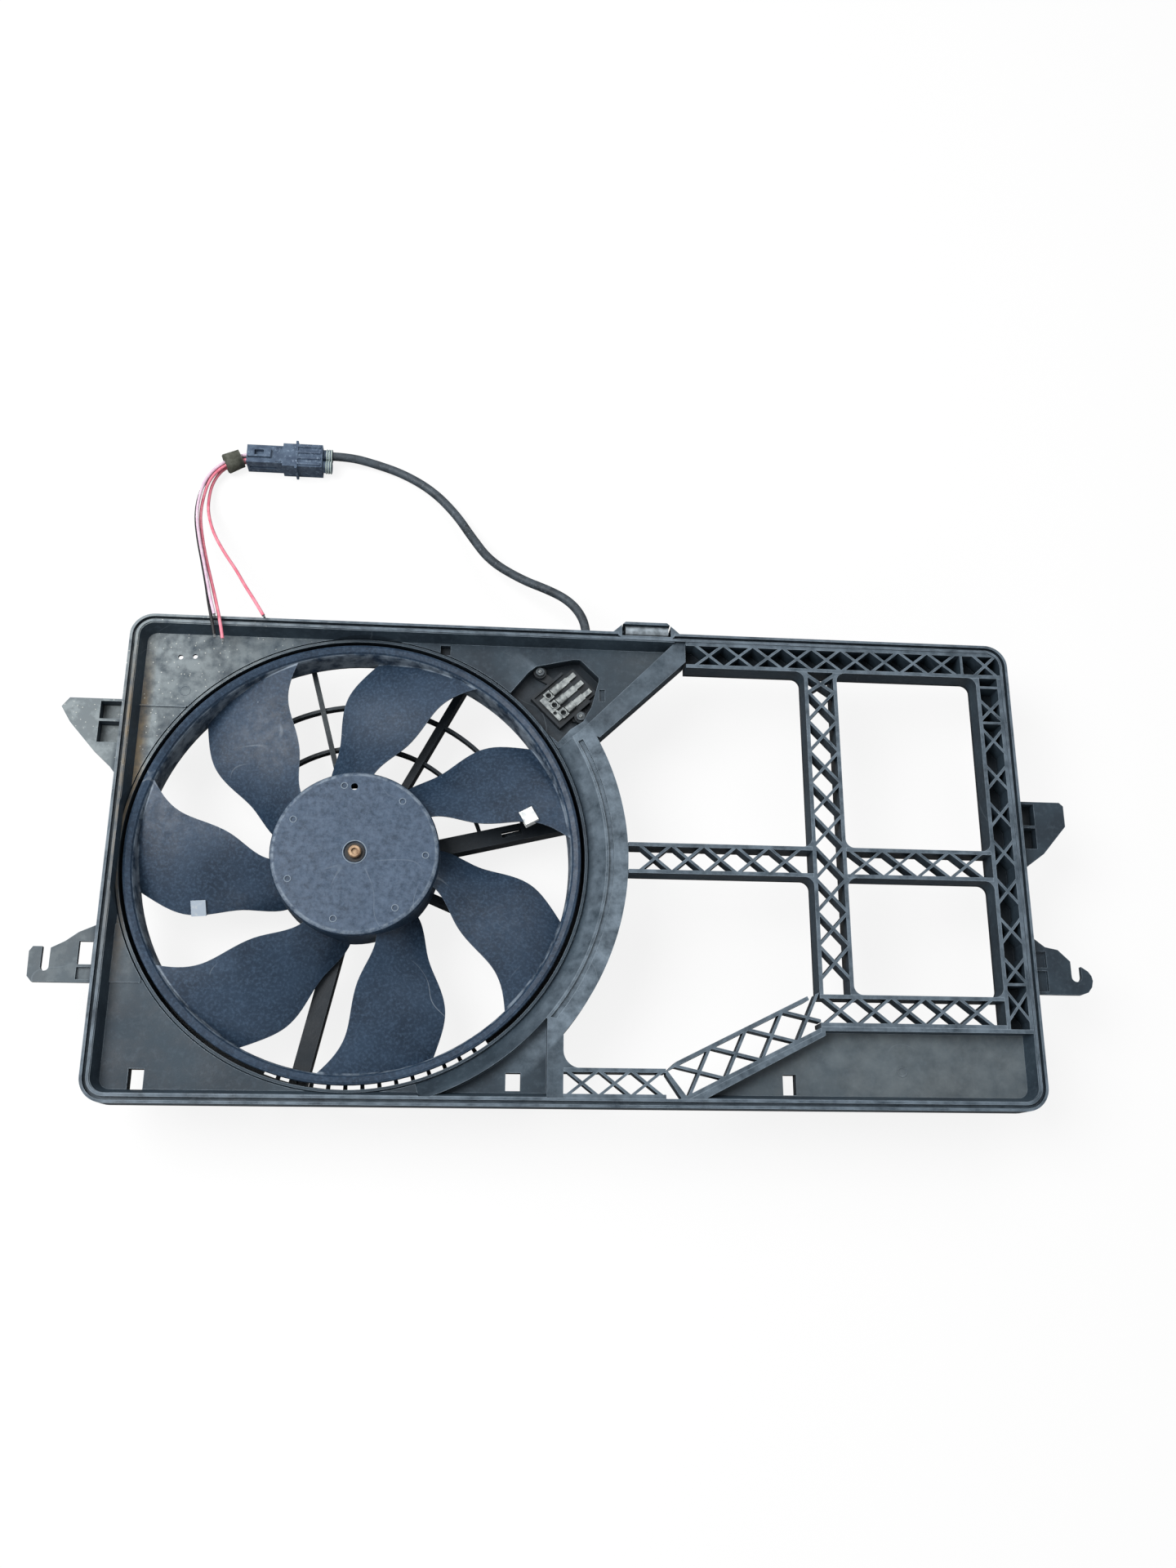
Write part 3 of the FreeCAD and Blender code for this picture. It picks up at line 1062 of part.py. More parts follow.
def motor_inside():
    inner = S.can_radius - S.can_wall
    bore = S.shaft_radius + S.running_gap
    front_top = S.can_front + 0.5
    keep(turned("front_bearing", [(bore, front_top - S.bearing_long + 0.5), (S.bearing_radius,
         front_top - S.bearing_long + 0.5), (S.bearing_radius, front_top), (bore, front_top)]), "front_bearing",
         at_fan=True)
    keep(turned("rear_bearing", [(bore, S.wall), (S.bearing_radius, S.wall), (S.bearing_radius,
         S.wall + S.bearing_long), (bore, S.wall + S.bearing_long)]), "rear_bearing", at_fan=True)
    seat = hub_top - 1.5
    thread = S.shaft_radius - 1.5
    keep(turned("motor_shaft", [(0, S.wall + 0.3), (S.shaft_radius, S.wall + 0.3), (S.shaft_radius, seat - 0.2),
                                (thread, seat - 0.2), (thread, seat - 17), (0, seat - 17)]), "motor_shaft",
         at_fan=True)
    magnets = []
    for side in (0, 180):
        magnet = doc.addObject("Part::Revolution", f"magnet_{side}")
        sketch = doc.addObject("Sketcher::SketchObject", f"magnet_{side}_profile")
        polygon(sketch, [(inner - 11, S.can_back + 5), (inner, S.can_back + 5), (inner, S.can_front - 8),
                         (inner - 11, S.can_front - 8)])
        sketch.Placement = FreeCAD.Placement(Vector(0, 0, 0), FreeCAD.Rotation(Vector(1, 0, 0), 90))
        magnet.Source = sketch
        magnet.Axis = UP
        magnet.Angle = 130
        magnet.Solid = True
        place(magnet, 0, 0, 0, side - 65)
        magnets.append(magnet)
    keep(group("magnet_pair", magnets), "field_magnets", at_fan=True)
    core_radius = inner - 12.5
    slots = [block(f"core_slot_{i}", 0, -2, S.can_back, 20, 2, S.can_front) for i in range(CORE_SLOTS)]
    for i, slot in enumerate(slots):
        around = FreeCAD.Rotation(UP, 360 * i / CORE_SLOTS)
        slot.setExpression("Placement.Base.x", None)
        slot.setExpression("Placement.Base.y", None)
        slot.setExpression("Placement.Base.z", None)
        slot.Placement = FreeCAD.Placement(
            around.multVec(Vector(number(core_radius) - 12, -2, number(S.can_back))), around)
    core = ring("core_blank", S.shaft_radius, core_radius, S.can_back + 6, S.can_front - 11)
    keep(cut("core_slotted", core, fuse("core_slots", slots)), "armature_core", at_fan=True)
    wind_out = core_radius - 3
    low_end = S.can_back + 6
    high_end = S.can_front - 11
    ends = [turned("winding_back", [(12, low_end - 5), (wind_out - 3, low_end - 5), (wind_out, low_end - 2),
                                    (wind_out, low_end), (12, low_end)]),
            turned("winding_front", [(12, high_end), (wind_out, high_end), (wind_out, high_end + 2),
                                     (wind_out - 3, high_end + 4), (12, high_end + 4)])]
    keep(group("winding_pair", ends), "armature_windings", at_fan=True)
    comm_low = S.wall + S.bearing_long + 1
    comm_high = low_end - 5.5
    keep(turned("commutator_bar", [(S.shaft_radius, comm_low), (11, comm_low), (11, comm_high),
                                   (S.shaft_radius, comm_high)]), "commutator", at_fan=True)
    brushes = []
    holders = []
    for i, side in enumerate((1, -1)):
        near, far = (11.3, 24) if side == 1 else (-24, -11.3)
        brushes.append(block(f"brush_{i}", near, -3, comm_low + 1, far, 3, comm_high - 1))
        near, far = (14, 32) if side == 1 else (-32, -14)
        case = block(f"holder_case_{i}", near, -4.5, S.wall, far, 4.5, comm_high + 0.5)
        hollow = block(f"holder_bore_{i}", near - 1, -3, comm_low + 1, far - 1.5 if side == 1 else far + 1, 3,
                       comm_high - 1)
        if side == -1:
            hollow.Length = number(17.5)
            hollow.setExpression("Placement.Base.x", None)
            hollow.Placement.Base.x = -30.5
        holders.append(cut(f"brush_holder_{i}", case, hollow))
    keep(group("brush_pair", brushes), "brushes", at_fan=True)
    keep(group("brush_holder_pair", holders), "brush_holders", at_fan=True)


CORE_SLOTS = 12


# Leads and connector


RADII = []


def tube(route, thick):
    """Round tube along straight runs joined by tangent arcs, and the route's length."""
    points = [Vector(*[number(size) for size in spot]) for spot in route]
    edges = []
    here = points[0]
    for before, corner, after in zip(points, points[1:], points[2:]):
        into = corner - before
        out = after - corner
        half = into.getAngle(out) / 2
        reach = 0.45 * min(into.Length, out.Length)
        radius = reach / math.tan(half)
        RADII.append(radius / thick)
        into.normalize()
        out.normalize()
        start = corner - into * reach
        stop = corner + out * reach
        inwards = out - into
        inwards.normalize()
        middle = corner + inwards * (math.hypot(reach, radius) - radius)
        edges.append(Part.LineSegment(here, start).toShape())
        edges.append(Part.Arc(start, middle, stop).toShape())
        here = stop
    edges.append(Part.LineSegment(here, points[-1]).toShape())
    path = Part.Wire(edges)
    first = points[1] - points[0]
    section = Part.Wire(Part.makeCircle(thick / 2, points[0], first))
    shape = path.makePipeShell([section], True, False)
    length = sum(edge.Length for edge in edges)
    expected = math.pi * (thick / 2) ** 2 * length
    if abs(shape.Volume - expected) > expected * 0.01:
        raise SystemExit(f"a tube's volume is {shape.Volume:.0f}, not {expected:.0f}")
    return shape, length


def cord(label, route, thick):
    first = len(RADII)
    shape, length = tube(route, number(thick))
    item = doc.addObject("Part::Feature", label)
    item.Shape = shape
    keep(item, label)
    smallest = min(RADII[first:])
    print(f"{label}: {length:.1f} mm long, smallest radius {smallest:.1f} diameters")


CABLE = [(7.5, 186, 52), (7.5, 201, 52), (2.6, 216.2, 50.2), (-7.6, 229.8, 46.2), (-23, 240.9, 40.5),
         (-46.5, 254.5, 31), (-73, 275.5, 21), (-89, 300.5, 14), (-104, 326, 8.5), (-125, 350, 4.6), (-151, 366, 3.9),
         (-178, 374.5, 5), (-199, 377, 9.5), (-214, 377, 9.5)]
BLACK = [(-280, 374.6, 5.6), (-290.5, 374.6, 5.6), (-308.7, 365.4, 6.4), (-321, 350, 8), (-325.5, 329, 13),
         (-324, 305, 22), (-317, 277, 36), (-308, 248.5, 53), (-299, 220, 72), (-292, 196, 88.4),
         (-287.5, 178, 88.4), (-285.5, 169, 87)]
WHITE = [(-280, 374.6, 10.8), (-290.5, 374.6, 10.8), (-308.7, 365.4, 9.9), (-320, 350.5, 12), (-323.6, 329.5, 17),
         (-322.3, 305, 25.8), (-315.3, 277, 39.8), (-306.3, 248.7, 56.8), (-297.2, 220.3, 75.8),
         (-290, 197, 91.6), (-286, 184, 91.8)]
PINK_LONG = [(-280, 369.6, 10.8), (-290.5, 369.6, 10.8), (-307.3, 362.6, 9.9), (-317.8, 348.3, 11),
             (-321, 329, 13.6), (-320.2, 305, 22), (-313.1, 277.3, 36), (-304.3, 248.7, 53), (-294.7, 221.2, 72),
             (-286, 195.5, 88.4), (-281, 177, 88.4), (-279, 166, 86.6)]
PINK_SHORT = [(-280, 369.6, 5.6), (-290.5, 369.6, 5.6), (-307.3, 362.6, 6.4), (-316, 347.5, 6.6),
              (-317.5, 328.5, 9), (-314.5, 310, 17), (-305.1, 284, 32), (-290.8, 257.6, 48.5),
              (-278.3, 237.3, 62), (-267.8, 217.6, 74.5), (-257.4, 200.2, 85), (-249, 186, 88.4)]
SUPPLY = [(-14, 143, 48), (-14, 154, 48), (-7.5, 163.5, 49.5), (3.5, 166, 51.5), (7.5, 174, 52), (7.5, 186, 52)]
LEAD_IN_ARM = [(45, 0, 14), (59, 0, 14), (74, 0.5, 21), (90, 0.5, 28), (116, -0.6, 28.5), (146, 0.6, 28.5),
               (170, 0, 28.5), (186, 1.5, 28.5)]
LEAD_BEHIND_PANEL = [(14, 64, 34), (11, 83, 42), (4, 98, 47.5), (-8, 109.5, 49), (-8, 123, 49)]


def leads():
    """Captive lead from the motor to the resistor's plug, and on to the clip where the free cable starts."""
    plug = block("resistor_plug_body", -26, 123 + above, 42, -2, 143 + above, floor_top - pocket_deep - S.wall)
    keep(group("resistor_plug_placed", [plug]), "resistor_plug")
    around = FreeCAD.Rotation(UP, ARMS[0][0])
    route = []
    for x, y, z in LEAD_IN_ARM:
        spot = around.multVec(Vector(x, y, z))
        route.append((number(S.fan_x) + spot.x, spot.y, spot.z))
    cord("motor_lead", route + LEAD_BEHIND_PANEL, S.lead_thick)
    cord("supply_lead", SUPPLY, S.cable_thick)
    x, y, z = CABLE[0]
    seat = S.cable_thick / 2
    low = S.rim_high - S.skirt_deep
    saddle = block("lead_clip_block", x - 8, half_tall - 7, z - seat - 2.5, x + 8, half_tall, low)
    bore = doc.addObject("Part::Cylinder", "lead_clip_bore")
    bore.Radius = number(seat)
    bind(bore, "Radius", seat)
    bore.Height = 20
    bore.Placement = FreeCAD.Placement(Vector(x, number(half_tall) - 14, z), FreeCAD.Rotation(Vector(1, 0, 0), -90))
    keep(cut("lead_clip_bored", saddle, bore), "lead_clip")


def rod_along_x(name, radius, left, right, y, z):
    rod = doc.addObject("Part::Cylinder", name)
    rod.Radius = radius
    rod.Height = right - left
    rod.Placement = FreeCAD.Placement(Vector(left, y, z), FreeCAD.Rotation(Vector(0, 1, 0), 90))
    return rod


def connector():
    """Two mated halves that lie on the ground: ribbed socket with its seal tubes, and latched plug."""
    y, z = 371.5, 9.5
    shoulder = block("socket_shoulder", -256, y - 11, 0.5, -245, y + 11, 18.5)
    flange = block("socket_flange", -245, y - 13.5, 0, -243, y + 13.5, 19.5)
    barrel = block("socket_barrel", -243, y - 11, 0.5, -222, y + 11, 18.5)
    ribs = [block(f"socket_rib_{i}", -243, y - 9.5 + 6 * i, 18.5, -224, y - 8 + 6 * i, 19.5) for i in range(4)]
    tubes = [rod_along_x("socket_tube_0", 5.2, -222, -214, 377, z), rod_along_x("socket_tube_1", 5.2, -222, -214, 366, z)]
    mouth = block("socket_mouth", -257, y - 8.2, 1.3, -247.8, y + 8.2, 17.7)
    keep(cut("socket_opened", fuse("socket_parts", [shoulder, flange, barrel] + ribs + tubes), mouth),
         "connector_socket")
    nose = block("plug_nose", -258, y - 8, 1.5, -248, y + 8, 17.5)
    body = block("plug_body", -287, y - 8.5, 1, -256, y + 8.5, 18)
    lever = block("plug_lever", -286, y - 4, 18, -266, y + 4, 20.5)
    gap = block("plug_lever_gap", -280, y - 2.5, 17, -272, y + 2.5, 21)
    groove = block("plug_groove", -285, y - 9, 8, -262, y - 7.7, 11)
    cells = [rod_along_x(f"plug_cell_{i}", 1.8, -288, -280, route[0][1], route[0][2])
             for i, route in enumerate((BLACK, WHITE, PINK_LONG, PINK_SHORT))]
    keep(cut("plug_pierced", fuse("plug_parts", [nose, body, lever]), fuse("plug_spaces", [gap, groove] + cells)),
         "connector_plug")
    outer = rod_along_x("tape_outside", 8, -7.5, 7.5, 0, 0)
    inner = rod_along_x("tape_inside", 5.4, -8, 8, 0, 0)
    tape = cut("tape_tube", outer, inner)
    tape.Placement = FreeCAD.Placement(Vector(-299.5, 368.3, 8.1), FreeCAD.Rotation(UP, 26.6))
    keep(group("tape_placed", [tape]), "tape_band")


def free_cords():
    cord("cable_sheath", CABLE, S.cable_thick)
    cord("wire_black", BLACK, S.wire_thick)
    cord("wire_white", WHITE, S.wire_thick)
    cord("wire_pink_long", PINK_LONG, S.wire_thick)
    cord("wire_pink_short", PINK_SHORT, S.wire_thick)


def build():
    cowl_rim()
    cowl_panel()
    cowl_collar()
    window_edge()
    lattice_frame()
    diagonal_beam()
    lower_lattice()
    corner_tray()
    motor_support()
    side_plates()
    top_clips()
    resistor()
    balance_clips(fan_wheel())
    fan_fixings()
    motor_case()
    motor_inside()
    leads()
    connector()
    free_cords()


build()
doc.recompute()
for item in doc.Objects:
    if "Invalid" in item.State or "Error" in item.State:
        raise SystemExit(f"{item.Label} did not compute: {item.State}")
for item in NODES:
    if item.Shape.isNull() or not item.Shape.isValid():
        raise SystemExit(f"{item.Label} has no valid shape")
os.makedirs("parts", exist_ok=True)
for item in NODES:
    item.Shape.exportStep(f"parts/{item.Label}.step")
    print(item.Label, len(item.Shape.Solids), round(item.Shape.Volume))
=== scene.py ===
import json
import math

import bpy
from mathutils import Matrix, Vector


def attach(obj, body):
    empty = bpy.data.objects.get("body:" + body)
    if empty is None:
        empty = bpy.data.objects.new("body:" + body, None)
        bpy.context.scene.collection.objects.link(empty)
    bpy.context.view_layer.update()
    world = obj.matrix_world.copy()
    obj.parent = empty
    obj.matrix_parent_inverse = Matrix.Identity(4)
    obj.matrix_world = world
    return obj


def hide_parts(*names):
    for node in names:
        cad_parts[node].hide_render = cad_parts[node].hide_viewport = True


# Radiator cooling fan: looks. Metres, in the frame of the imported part.

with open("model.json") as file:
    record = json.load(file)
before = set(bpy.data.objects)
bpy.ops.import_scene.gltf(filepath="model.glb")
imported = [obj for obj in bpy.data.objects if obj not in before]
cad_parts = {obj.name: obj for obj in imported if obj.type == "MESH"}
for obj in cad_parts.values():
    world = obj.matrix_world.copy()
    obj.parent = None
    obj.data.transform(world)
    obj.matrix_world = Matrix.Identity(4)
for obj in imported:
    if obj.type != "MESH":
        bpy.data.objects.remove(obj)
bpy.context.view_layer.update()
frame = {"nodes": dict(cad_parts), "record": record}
NODES = frame["nodes"]
# Axis of the fan, and the height of the hub's front face.
FAN_X = -0.169
FAN_Y = -0.0045
HUB_TOP = 0.078
# How strongly the plastics mirror: 0.5 is a clean surface, and dust has dulled these.
NYLON_SPECULAR = 0.22
PLASTIC_SPECULAR = 0.3


def spot(x, y, z):
    """A place written in millimetres from the middle of the cowl's rectangle."""
    return Vector((x / 1000, y / 1000 + FAN_Y, z / 1000))


# Camera and light


def make_camera():
    """The photograph's camera, above the fan and a little below its middle."""
    right = Vector((0.99610, 0.00285, 0.08821))
    down = Vector((0.02948, -0.95283, -0.30207))
    forward = Vector((0.08319, 0.30349, -0.94920))
    data = bpy.data.cameras.new("camera")
    data.sensor_width = 36
    data.lens = 30.84
    data.clip_start = 0.05
    data.clip_end = 20
    camera = bpy.data.objects.new("camera", data)
    place = Vector((-0.07978, -0.26181, 1.06711))
    turn = Matrix((right, -down, -forward)).transposed()
    camera.matrix_world = Matrix.Translation(place) @ turn.to_4x4()
    bpy.context.scene.collection.objects.link(camera)
    bpy.context.scene.camera = camera


def make_lamp(name, place, target, width, power):
    """A round soft lamp at a place, turned to a target."""
    data = bpy.data.lights.new(name, "AREA")
    data.shape = "DISK"
    data.size = width
    data.energy = power
    lamp = bpy.data.objects.new(name, data)
    aim = (Vector(target) - Vector(place)).to_track_quat("-Z", "Y")
    lamp.matrix_world = Matrix.Translation(place) @ aim.to_matrix().to_4x4()
    bpy.context.scene.collection.objects.link(lamp)


# Nodes


def linear(code):
    """A colour written as #rrggbb, as the shader's linear numbers."""
    shares = [int(code[i:i + 2], 16) / 255 for i in (1, 3, 5)]
    return tuple(share / 12.92 if share <= 0.04045 else ((share + 0.055) / 1.055) ** 2.4
                 for share in shares) + (1,)


def add(tree, kind, inputs, out=0, **settings):
    """Add a node with its settings, set or link its inputs, and give one of its outputs."""
    node = tree.nodes.new(kind)
    for name, value in settings.items():
        setattr(node, name, value)
    for name, value in inputs.items():
        if isinstance(value, bpy.types.NodeSocket):
            tree.links.new(value, node.inputs[name])
        else:
            node.inputs[name].default_value = linear(value) if isinstance(value, str) else value
    return node.outputs[out] if len(node.outputs) else node


# In a mix, 0 is the share and 6 and 7 are the two colours. In a map range, 0 is the value, 1 and 2 are
# its ends, and 3 and 4 are the ends of the result.
MIX = {"data_type": "RGBA", "out": 2}
TIMES = {"operation": "MULTIPLY"}
MOST = {"operation": "MAXIMUM"}


# Patterns, each at a real size


def new_material(name):
    """An empty material with its shader, and the object's own coordinates for its patterns."""
    material = bpy.data.materials.new(name)
    material.use_nodes = True
    tree = material.node_tree
    tree.nodes.clear()
    shader = tree.nodes.new("ShaderNodeBsdfPrincipled")
    add(tree, "ShaderNodeOutputMaterial", {"Surface": shader.outputs[0]})
    place = add(tree, "ShaderNodeTexCoord", {}, "Object")
    return material, tree, shader, place


def patches(tree, place, millimetres, low, high, detail=4.0):
    """Cloudy patches, from none of them at low to all of them at high."""
    cloud = add(tree, "ShaderNodeTexNoise", {"Vector": place, "Scale": 1000 / millimetres, "Detail": detail,
                                             "Roughness": 0.62})
    return add(tree, "ShaderNodeMapRange", {0: cloud, 1: low, 2: high})


def specks(tree, place, spacing, radius, share):
    """Grains of grit: round spots in a share of the cells of a loose grid."""
    cells = add(tree, "ShaderNodeTexVoronoi", {"Vector": place, "Scale": 1000 / spacing}).node.outputs
    near = add(tree, "ShaderNodeMapRange", {0: cells["Distance"], 1: radius / spacing,
                                            2: radius / spacing * 0.6})
    number = add(tree, "ShaderNodeSeparateColor", {0: cells["Color"]})
    kept = add(tree, "ShaderNodeMath", {0: number, 1: 1 - share}, operation="GREATER_THAN")
    return add(tree, "ShaderNodeMath", {0: near, 1: kept}, **TIMES)


def scratches(tree, place, millimetres, wide, low, high):
    """Thin winding scratches, found only inside some patches."""
    drift = add(tree, "ShaderNodeTexNoise", {"Vector": place, "Scale": 1000 / millimetres, "Detail": 0.0})
    signed = add(tree, "ShaderNodeMath", {0: drift, 1: 0.5}, operation="SUBTRACT")
    off = add(tree, "ShaderNodeMath", {0: signed}, operation="ABSOLUTE")
    line = add(tree, "ShaderNodeMapRange", {0: off, 1: wide, 2: wide * 0.4})
    some = patches(tree, place, millimetres * 1.6, low, high, 2)
    return add(tree, "ShaderNodeMath", {0: line, 1: some}, **TIMES)


def between(tree, value, start, stop, softness):
    """One inside a band of a value and none outside it, with soft edges."""
    rise = add(tree, "ShaderNodeMapRange", {0: value, 1: start - softness, 2: start})
    fall = add(tree, "ShaderNodeMapRange", {0: value, 1: stop + softness, 2: stop})
    return add(tree, "ShaderNodeMath", {0: rise, 1: fall}, **TIMES)


def grain(tree, shader, place, millimetres, deep, strength=0.5):
    """Surface grain of the mould or the die, as bump.

    The real grain is about 0.1 mm. It is drawn at 1.2 to 1.5 mm, coarser than it is, so that it shows.
    """
    height = patches(tree, place, millimetres, 0.2, 0.8, 2)
    bump = add(tree, "ShaderNodeBump", {"Height": height, "Distance": deep / 1000, "Strength": strength})
    tree.links.new(bump, shader.inputs["Normal"])


def worn_and_lit_edges(tree, place, millimetres, share):
    """Edges paler, worn bare and with a painted highlight along them: where a rounded normal leaves the
    face's own, in uneven runs.

    The two cosines are leans of about 20 and 40 degrees.
    """
    rounded = add(tree, "ShaderNodeBevel", {"Radius": millimetres / 1000}, samples=4)
    own = add(tree, "ShaderNodeNewGeometry", {}, "True Normal")
    lean = add(tree, "ShaderNodeVectorMath", {0: rounded, 1: own}, "Value", operation="DOT_PRODUCT")
    edge = add(tree, "ShaderNodeMapRange", {0: lean, 1: 0.93, 2: 0.78, 4: share})
    return add(tree, "ShaderNodeMath", {0: edge, 1: patches(tree, place, 18, 0.25, 0.55, 5)}, **TIMES)


def from_fan(tree, place):
    """Distance from the fan's axis."""
    flat = add(tree, "ShaderNodeVectorMath", {0: place, 1: (1, 1, 0)}, operation="MULTIPLY")
    return add(tree, "ShaderNodeVectorMath", {0: flat, 1: (FAN_X, FAN_Y, 0)}, "Value", operation="DISTANCE")


# Materials


def glass_filled_nylon():
    """Glass-filled nylon, injection moulded, after years in an engine bay.

    Charcoal with a soft sheen. Tops are paler, worn by handling and with a painted highlight, the flange
    beside the fan is polished in blotches, recesses are darkened with painted shade, and brown road dust
    lies on the closed side.
    """
    material, tree, shader, place = new_material("nylon_glass_filled_moulded")
    across, along, high = add(tree, "ShaderNodeSeparateXYZ", {0: place}).node.outputs
    facing = add(tree, "ShaderNodeSeparateXYZ", {0: add(tree, "ShaderNodeNewGeometry", {}, "Normal")}, 2)
    upward = add(tree, "ShaderNodeMapRange", {0: facing, 1: 0.35, 2: 0.95})
    round_fan = from_fan(tree, place)
    body = add(tree, "ShaderNodeMix", {0: patches(tree, place, 40, 0.35, 0.65), 6: "#242e37",
                                       7: "#323f49"}, **MIX)
    bloom = add(tree, "ShaderNodeMath", {0: patches(tree, place, 4, 0.5, 0.8), 1: 0.4}, **TIMES)
    body = add(tree, "ShaderNodeMix", {0: bloom, 6: body, 7: "#4d5a65"}, **MIX)
    # Painted highlight and wear: faces turned up near the front are paler, as lit from above and handled,
    # most of all on the flange beside the bell mouth.
    front = add(tree, "ShaderNodeMapRange", {0: high, 1: 0.0765, 2: 0.0825, 4: 0.8})
    right_side = add(tree, "ShaderNodeMapRange", {0: across, 1: -0.06, 2: -0.015})
    flange = add(tree, "ShaderNodeMath", {0: between(tree, round_fan, 0.182, 0.206, 0.004),
                                          1: right_side}, **TIMES)
    lit_and_worn_tops = add(tree, "ShaderNodeMath", {0: front, 1: flange}, **MOST)
    lit_and_worn_tops = add(tree, "ShaderNodeMath", {0: lit_and_worn_tops, 1: upward}, **TIMES)
    lit_and_worn_tops = add(tree, "ShaderNodeMath", {0: lit_and_worn_tops, 1: patches(tree, place, 11, 0.28, 0.66, 6)}, **TIMES)
    body = add(tree, "ShaderNodeMix", {0: lit_and_worn_tops, 6: body, 7: "#6f7d89"}, **MIX)
    # Painted highlight and wear: the edges facing up are paler, worn and standing in for the light they
    # catch.
    bare = add(tree, "ShaderNodeMath", {0: worn_and_lit_edges(tree, place, 0.9, 0.75), 1: upward}, **TIMES)
    body = add(tree, "ShaderNodeMix", {0: bare, 6: body, 7: "#94a2ae"}, **MIX)
    # Painted shade: faces that lie deep are darkened, standing in for the shadow in the recesses.
    deep = add(tree, "ShaderNodeMapRange", {0: high, 1: 0.0688, 2: 0.0655, 4: 0.78})
    body = add(tree, "ShaderNodeMix", {0: deep, 6: body, 7: "#0c1116"}, **MIX)
    # Dust: on the left slope, towards the upper left corner, and caked on the bracket plates at the far
    # left.
    # Faces at the panel's height are also made paler in the same grey, in clouds, growing to the right.
    slope_up = add(tree, "ShaderNodeMapRange", {0: along, 1: -0.13, 2: 0.06})
    slope = add(tree, "ShaderNodeMath", {0: between(tree, across, -0.3445, -0.327, 0.006),
                                         1: slope_up}, **TIMES)
    leftward = add(tree, "ShaderNodeMapRange", {0: across, 1: -0.17, 2: -0.32})
    towards_top = add(tree, "ShaderNodeMapRange", {0: along, 1: 0.0, 2: 0.15})
    corner = add(tree, "ShaderNodeMath", {0: leftward, 1: towards_top}, **TIMES)
    far_left = add(tree, "ShaderNodeMapRange", {0: across, 1: -0.352, 2: -0.356})
    upper_more = add(tree, "ShaderNodeMapRange", {0: along, 1: -0.02, 2: 0.02, 3: 0.4})
    plates = add(tree, "ShaderNodeMath", {0: far_left, 1: upper_more}, **TIMES)
    rightward = add(tree, "ShaderNodeMapRange", {0: across, 1: 0.0, 2: 0.22, 4: 0.45})
    film = add(tree, "ShaderNodeMath", {0: rightward,
                                        1: between(tree, high, 0.0695, 0.0715, 0.0008)}, **TIMES)
    film_clouds = add(tree, "ShaderNodeMapRange", {0: patches(tree, place, 15, 0.3, 0.66, 9), 3: 0.45})
    film = add(tree, "ShaderNodeMath", {0: film, 1: film_clouds}, **TIMES)
    strewn = add(tree, "ShaderNodeMath", {0: slope, 1: corner}, **MOST)
    strewn = add(tree, "ShaderNodeMath", {0: strewn, 1: plates}, **MOST)
    dusty = add(tree, "ShaderNodeMath", {0: strewn, 1: patches(tree, place, 11, 0.3, 0.6, 9)}, **TIMES)
    caked = add(tree, "ShaderNodeMath", {0: plates, 1: 0.62}, **TIMES)
    dusty = add(tree, "ShaderNodeMath", {0: dusty, 1: film}, **MOST)
    dusty = add(tree, "ShaderNodeMath", {0: dusty, 1: caked}, **MOST)
    dusty = add(tree, "ShaderNodeMath", {0: dusty, 1: upward}, **TIMES)
    dusty = add(tree, "ShaderNodeMath", {0: dusty, 1: 0.85}, **TIMES)
    # The dust is brown on the slope's outer part, all but its top, and grey elsewhere.
    below_top = add(tree, "ShaderNodeMapRange", {0: along, 1: 0.17, 2: 0.12})
    brown = add(tree, "ShaderNodeMath", {0: between(tree, across, -0.3445, -0.336, 0.006),
                                         1: below_top}, **TIMES)
    dust_tone = add(tree, "ShaderNodeMix", {0: brown, 6: "#8f989b", 7: "#7d705c"}, **MIX)
    body = add(tree, "ShaderNodeMix", {0: dusty, 6: body, 7: dust_tone}, **MIX)
    # Grit lies close together in the upper left corner, and a grain here and there elsewhere.
    grit = add(tree, "ShaderNodeMath", {0: specks(tree, place, 3.2, 0.55, 0.55), 1: corner}, **TIMES)
    grit = add(tree, "ShaderNodeMath", {0: grit, 1: specks(tree, place, 42, 0.7, 0.5)}, **MOST)
    grit = add(tree, "ShaderNodeMath", {0: grit, 1: upward}, **TIMES)
    body = add(tree, "ShaderNodeMix", {0: grit, 6: body, 7: "#c3c5c0"}, **MIX)
    marks = add(tree, "ShaderNodeMath", {0: scratches(tree, place, 38, 0.005, 0.54, 0.64), 1: 0.3}, **TIMES)
    body = add(tree, "ShaderNodeMix", {0: marks, 6: body, 7: "#77828b"}, **MIX)
    tree.links.new(body, shader.inputs["Base Color"])
    gloss = add(tree, "ShaderNodeMapRange", {0: patches(tree, place, 20, 0.35, 0.65), 3: 0.4, 4: 0.58})
    dulled = add(tree, "ShaderNodeMath", {0: dusty, 1: 0.3}, **TIMES)
    rough = add(tree, "ShaderNodeMath", {0: gloss, 1: dulled}, operation="ADD")
    tree.links.new(rough, shader.inputs["Roughness"])
    shader.inputs["Specular IOR Level"].default_value = NYLON_SPECULAR
    grain(tree, shader, place, 1.2, 0.12)
    return material


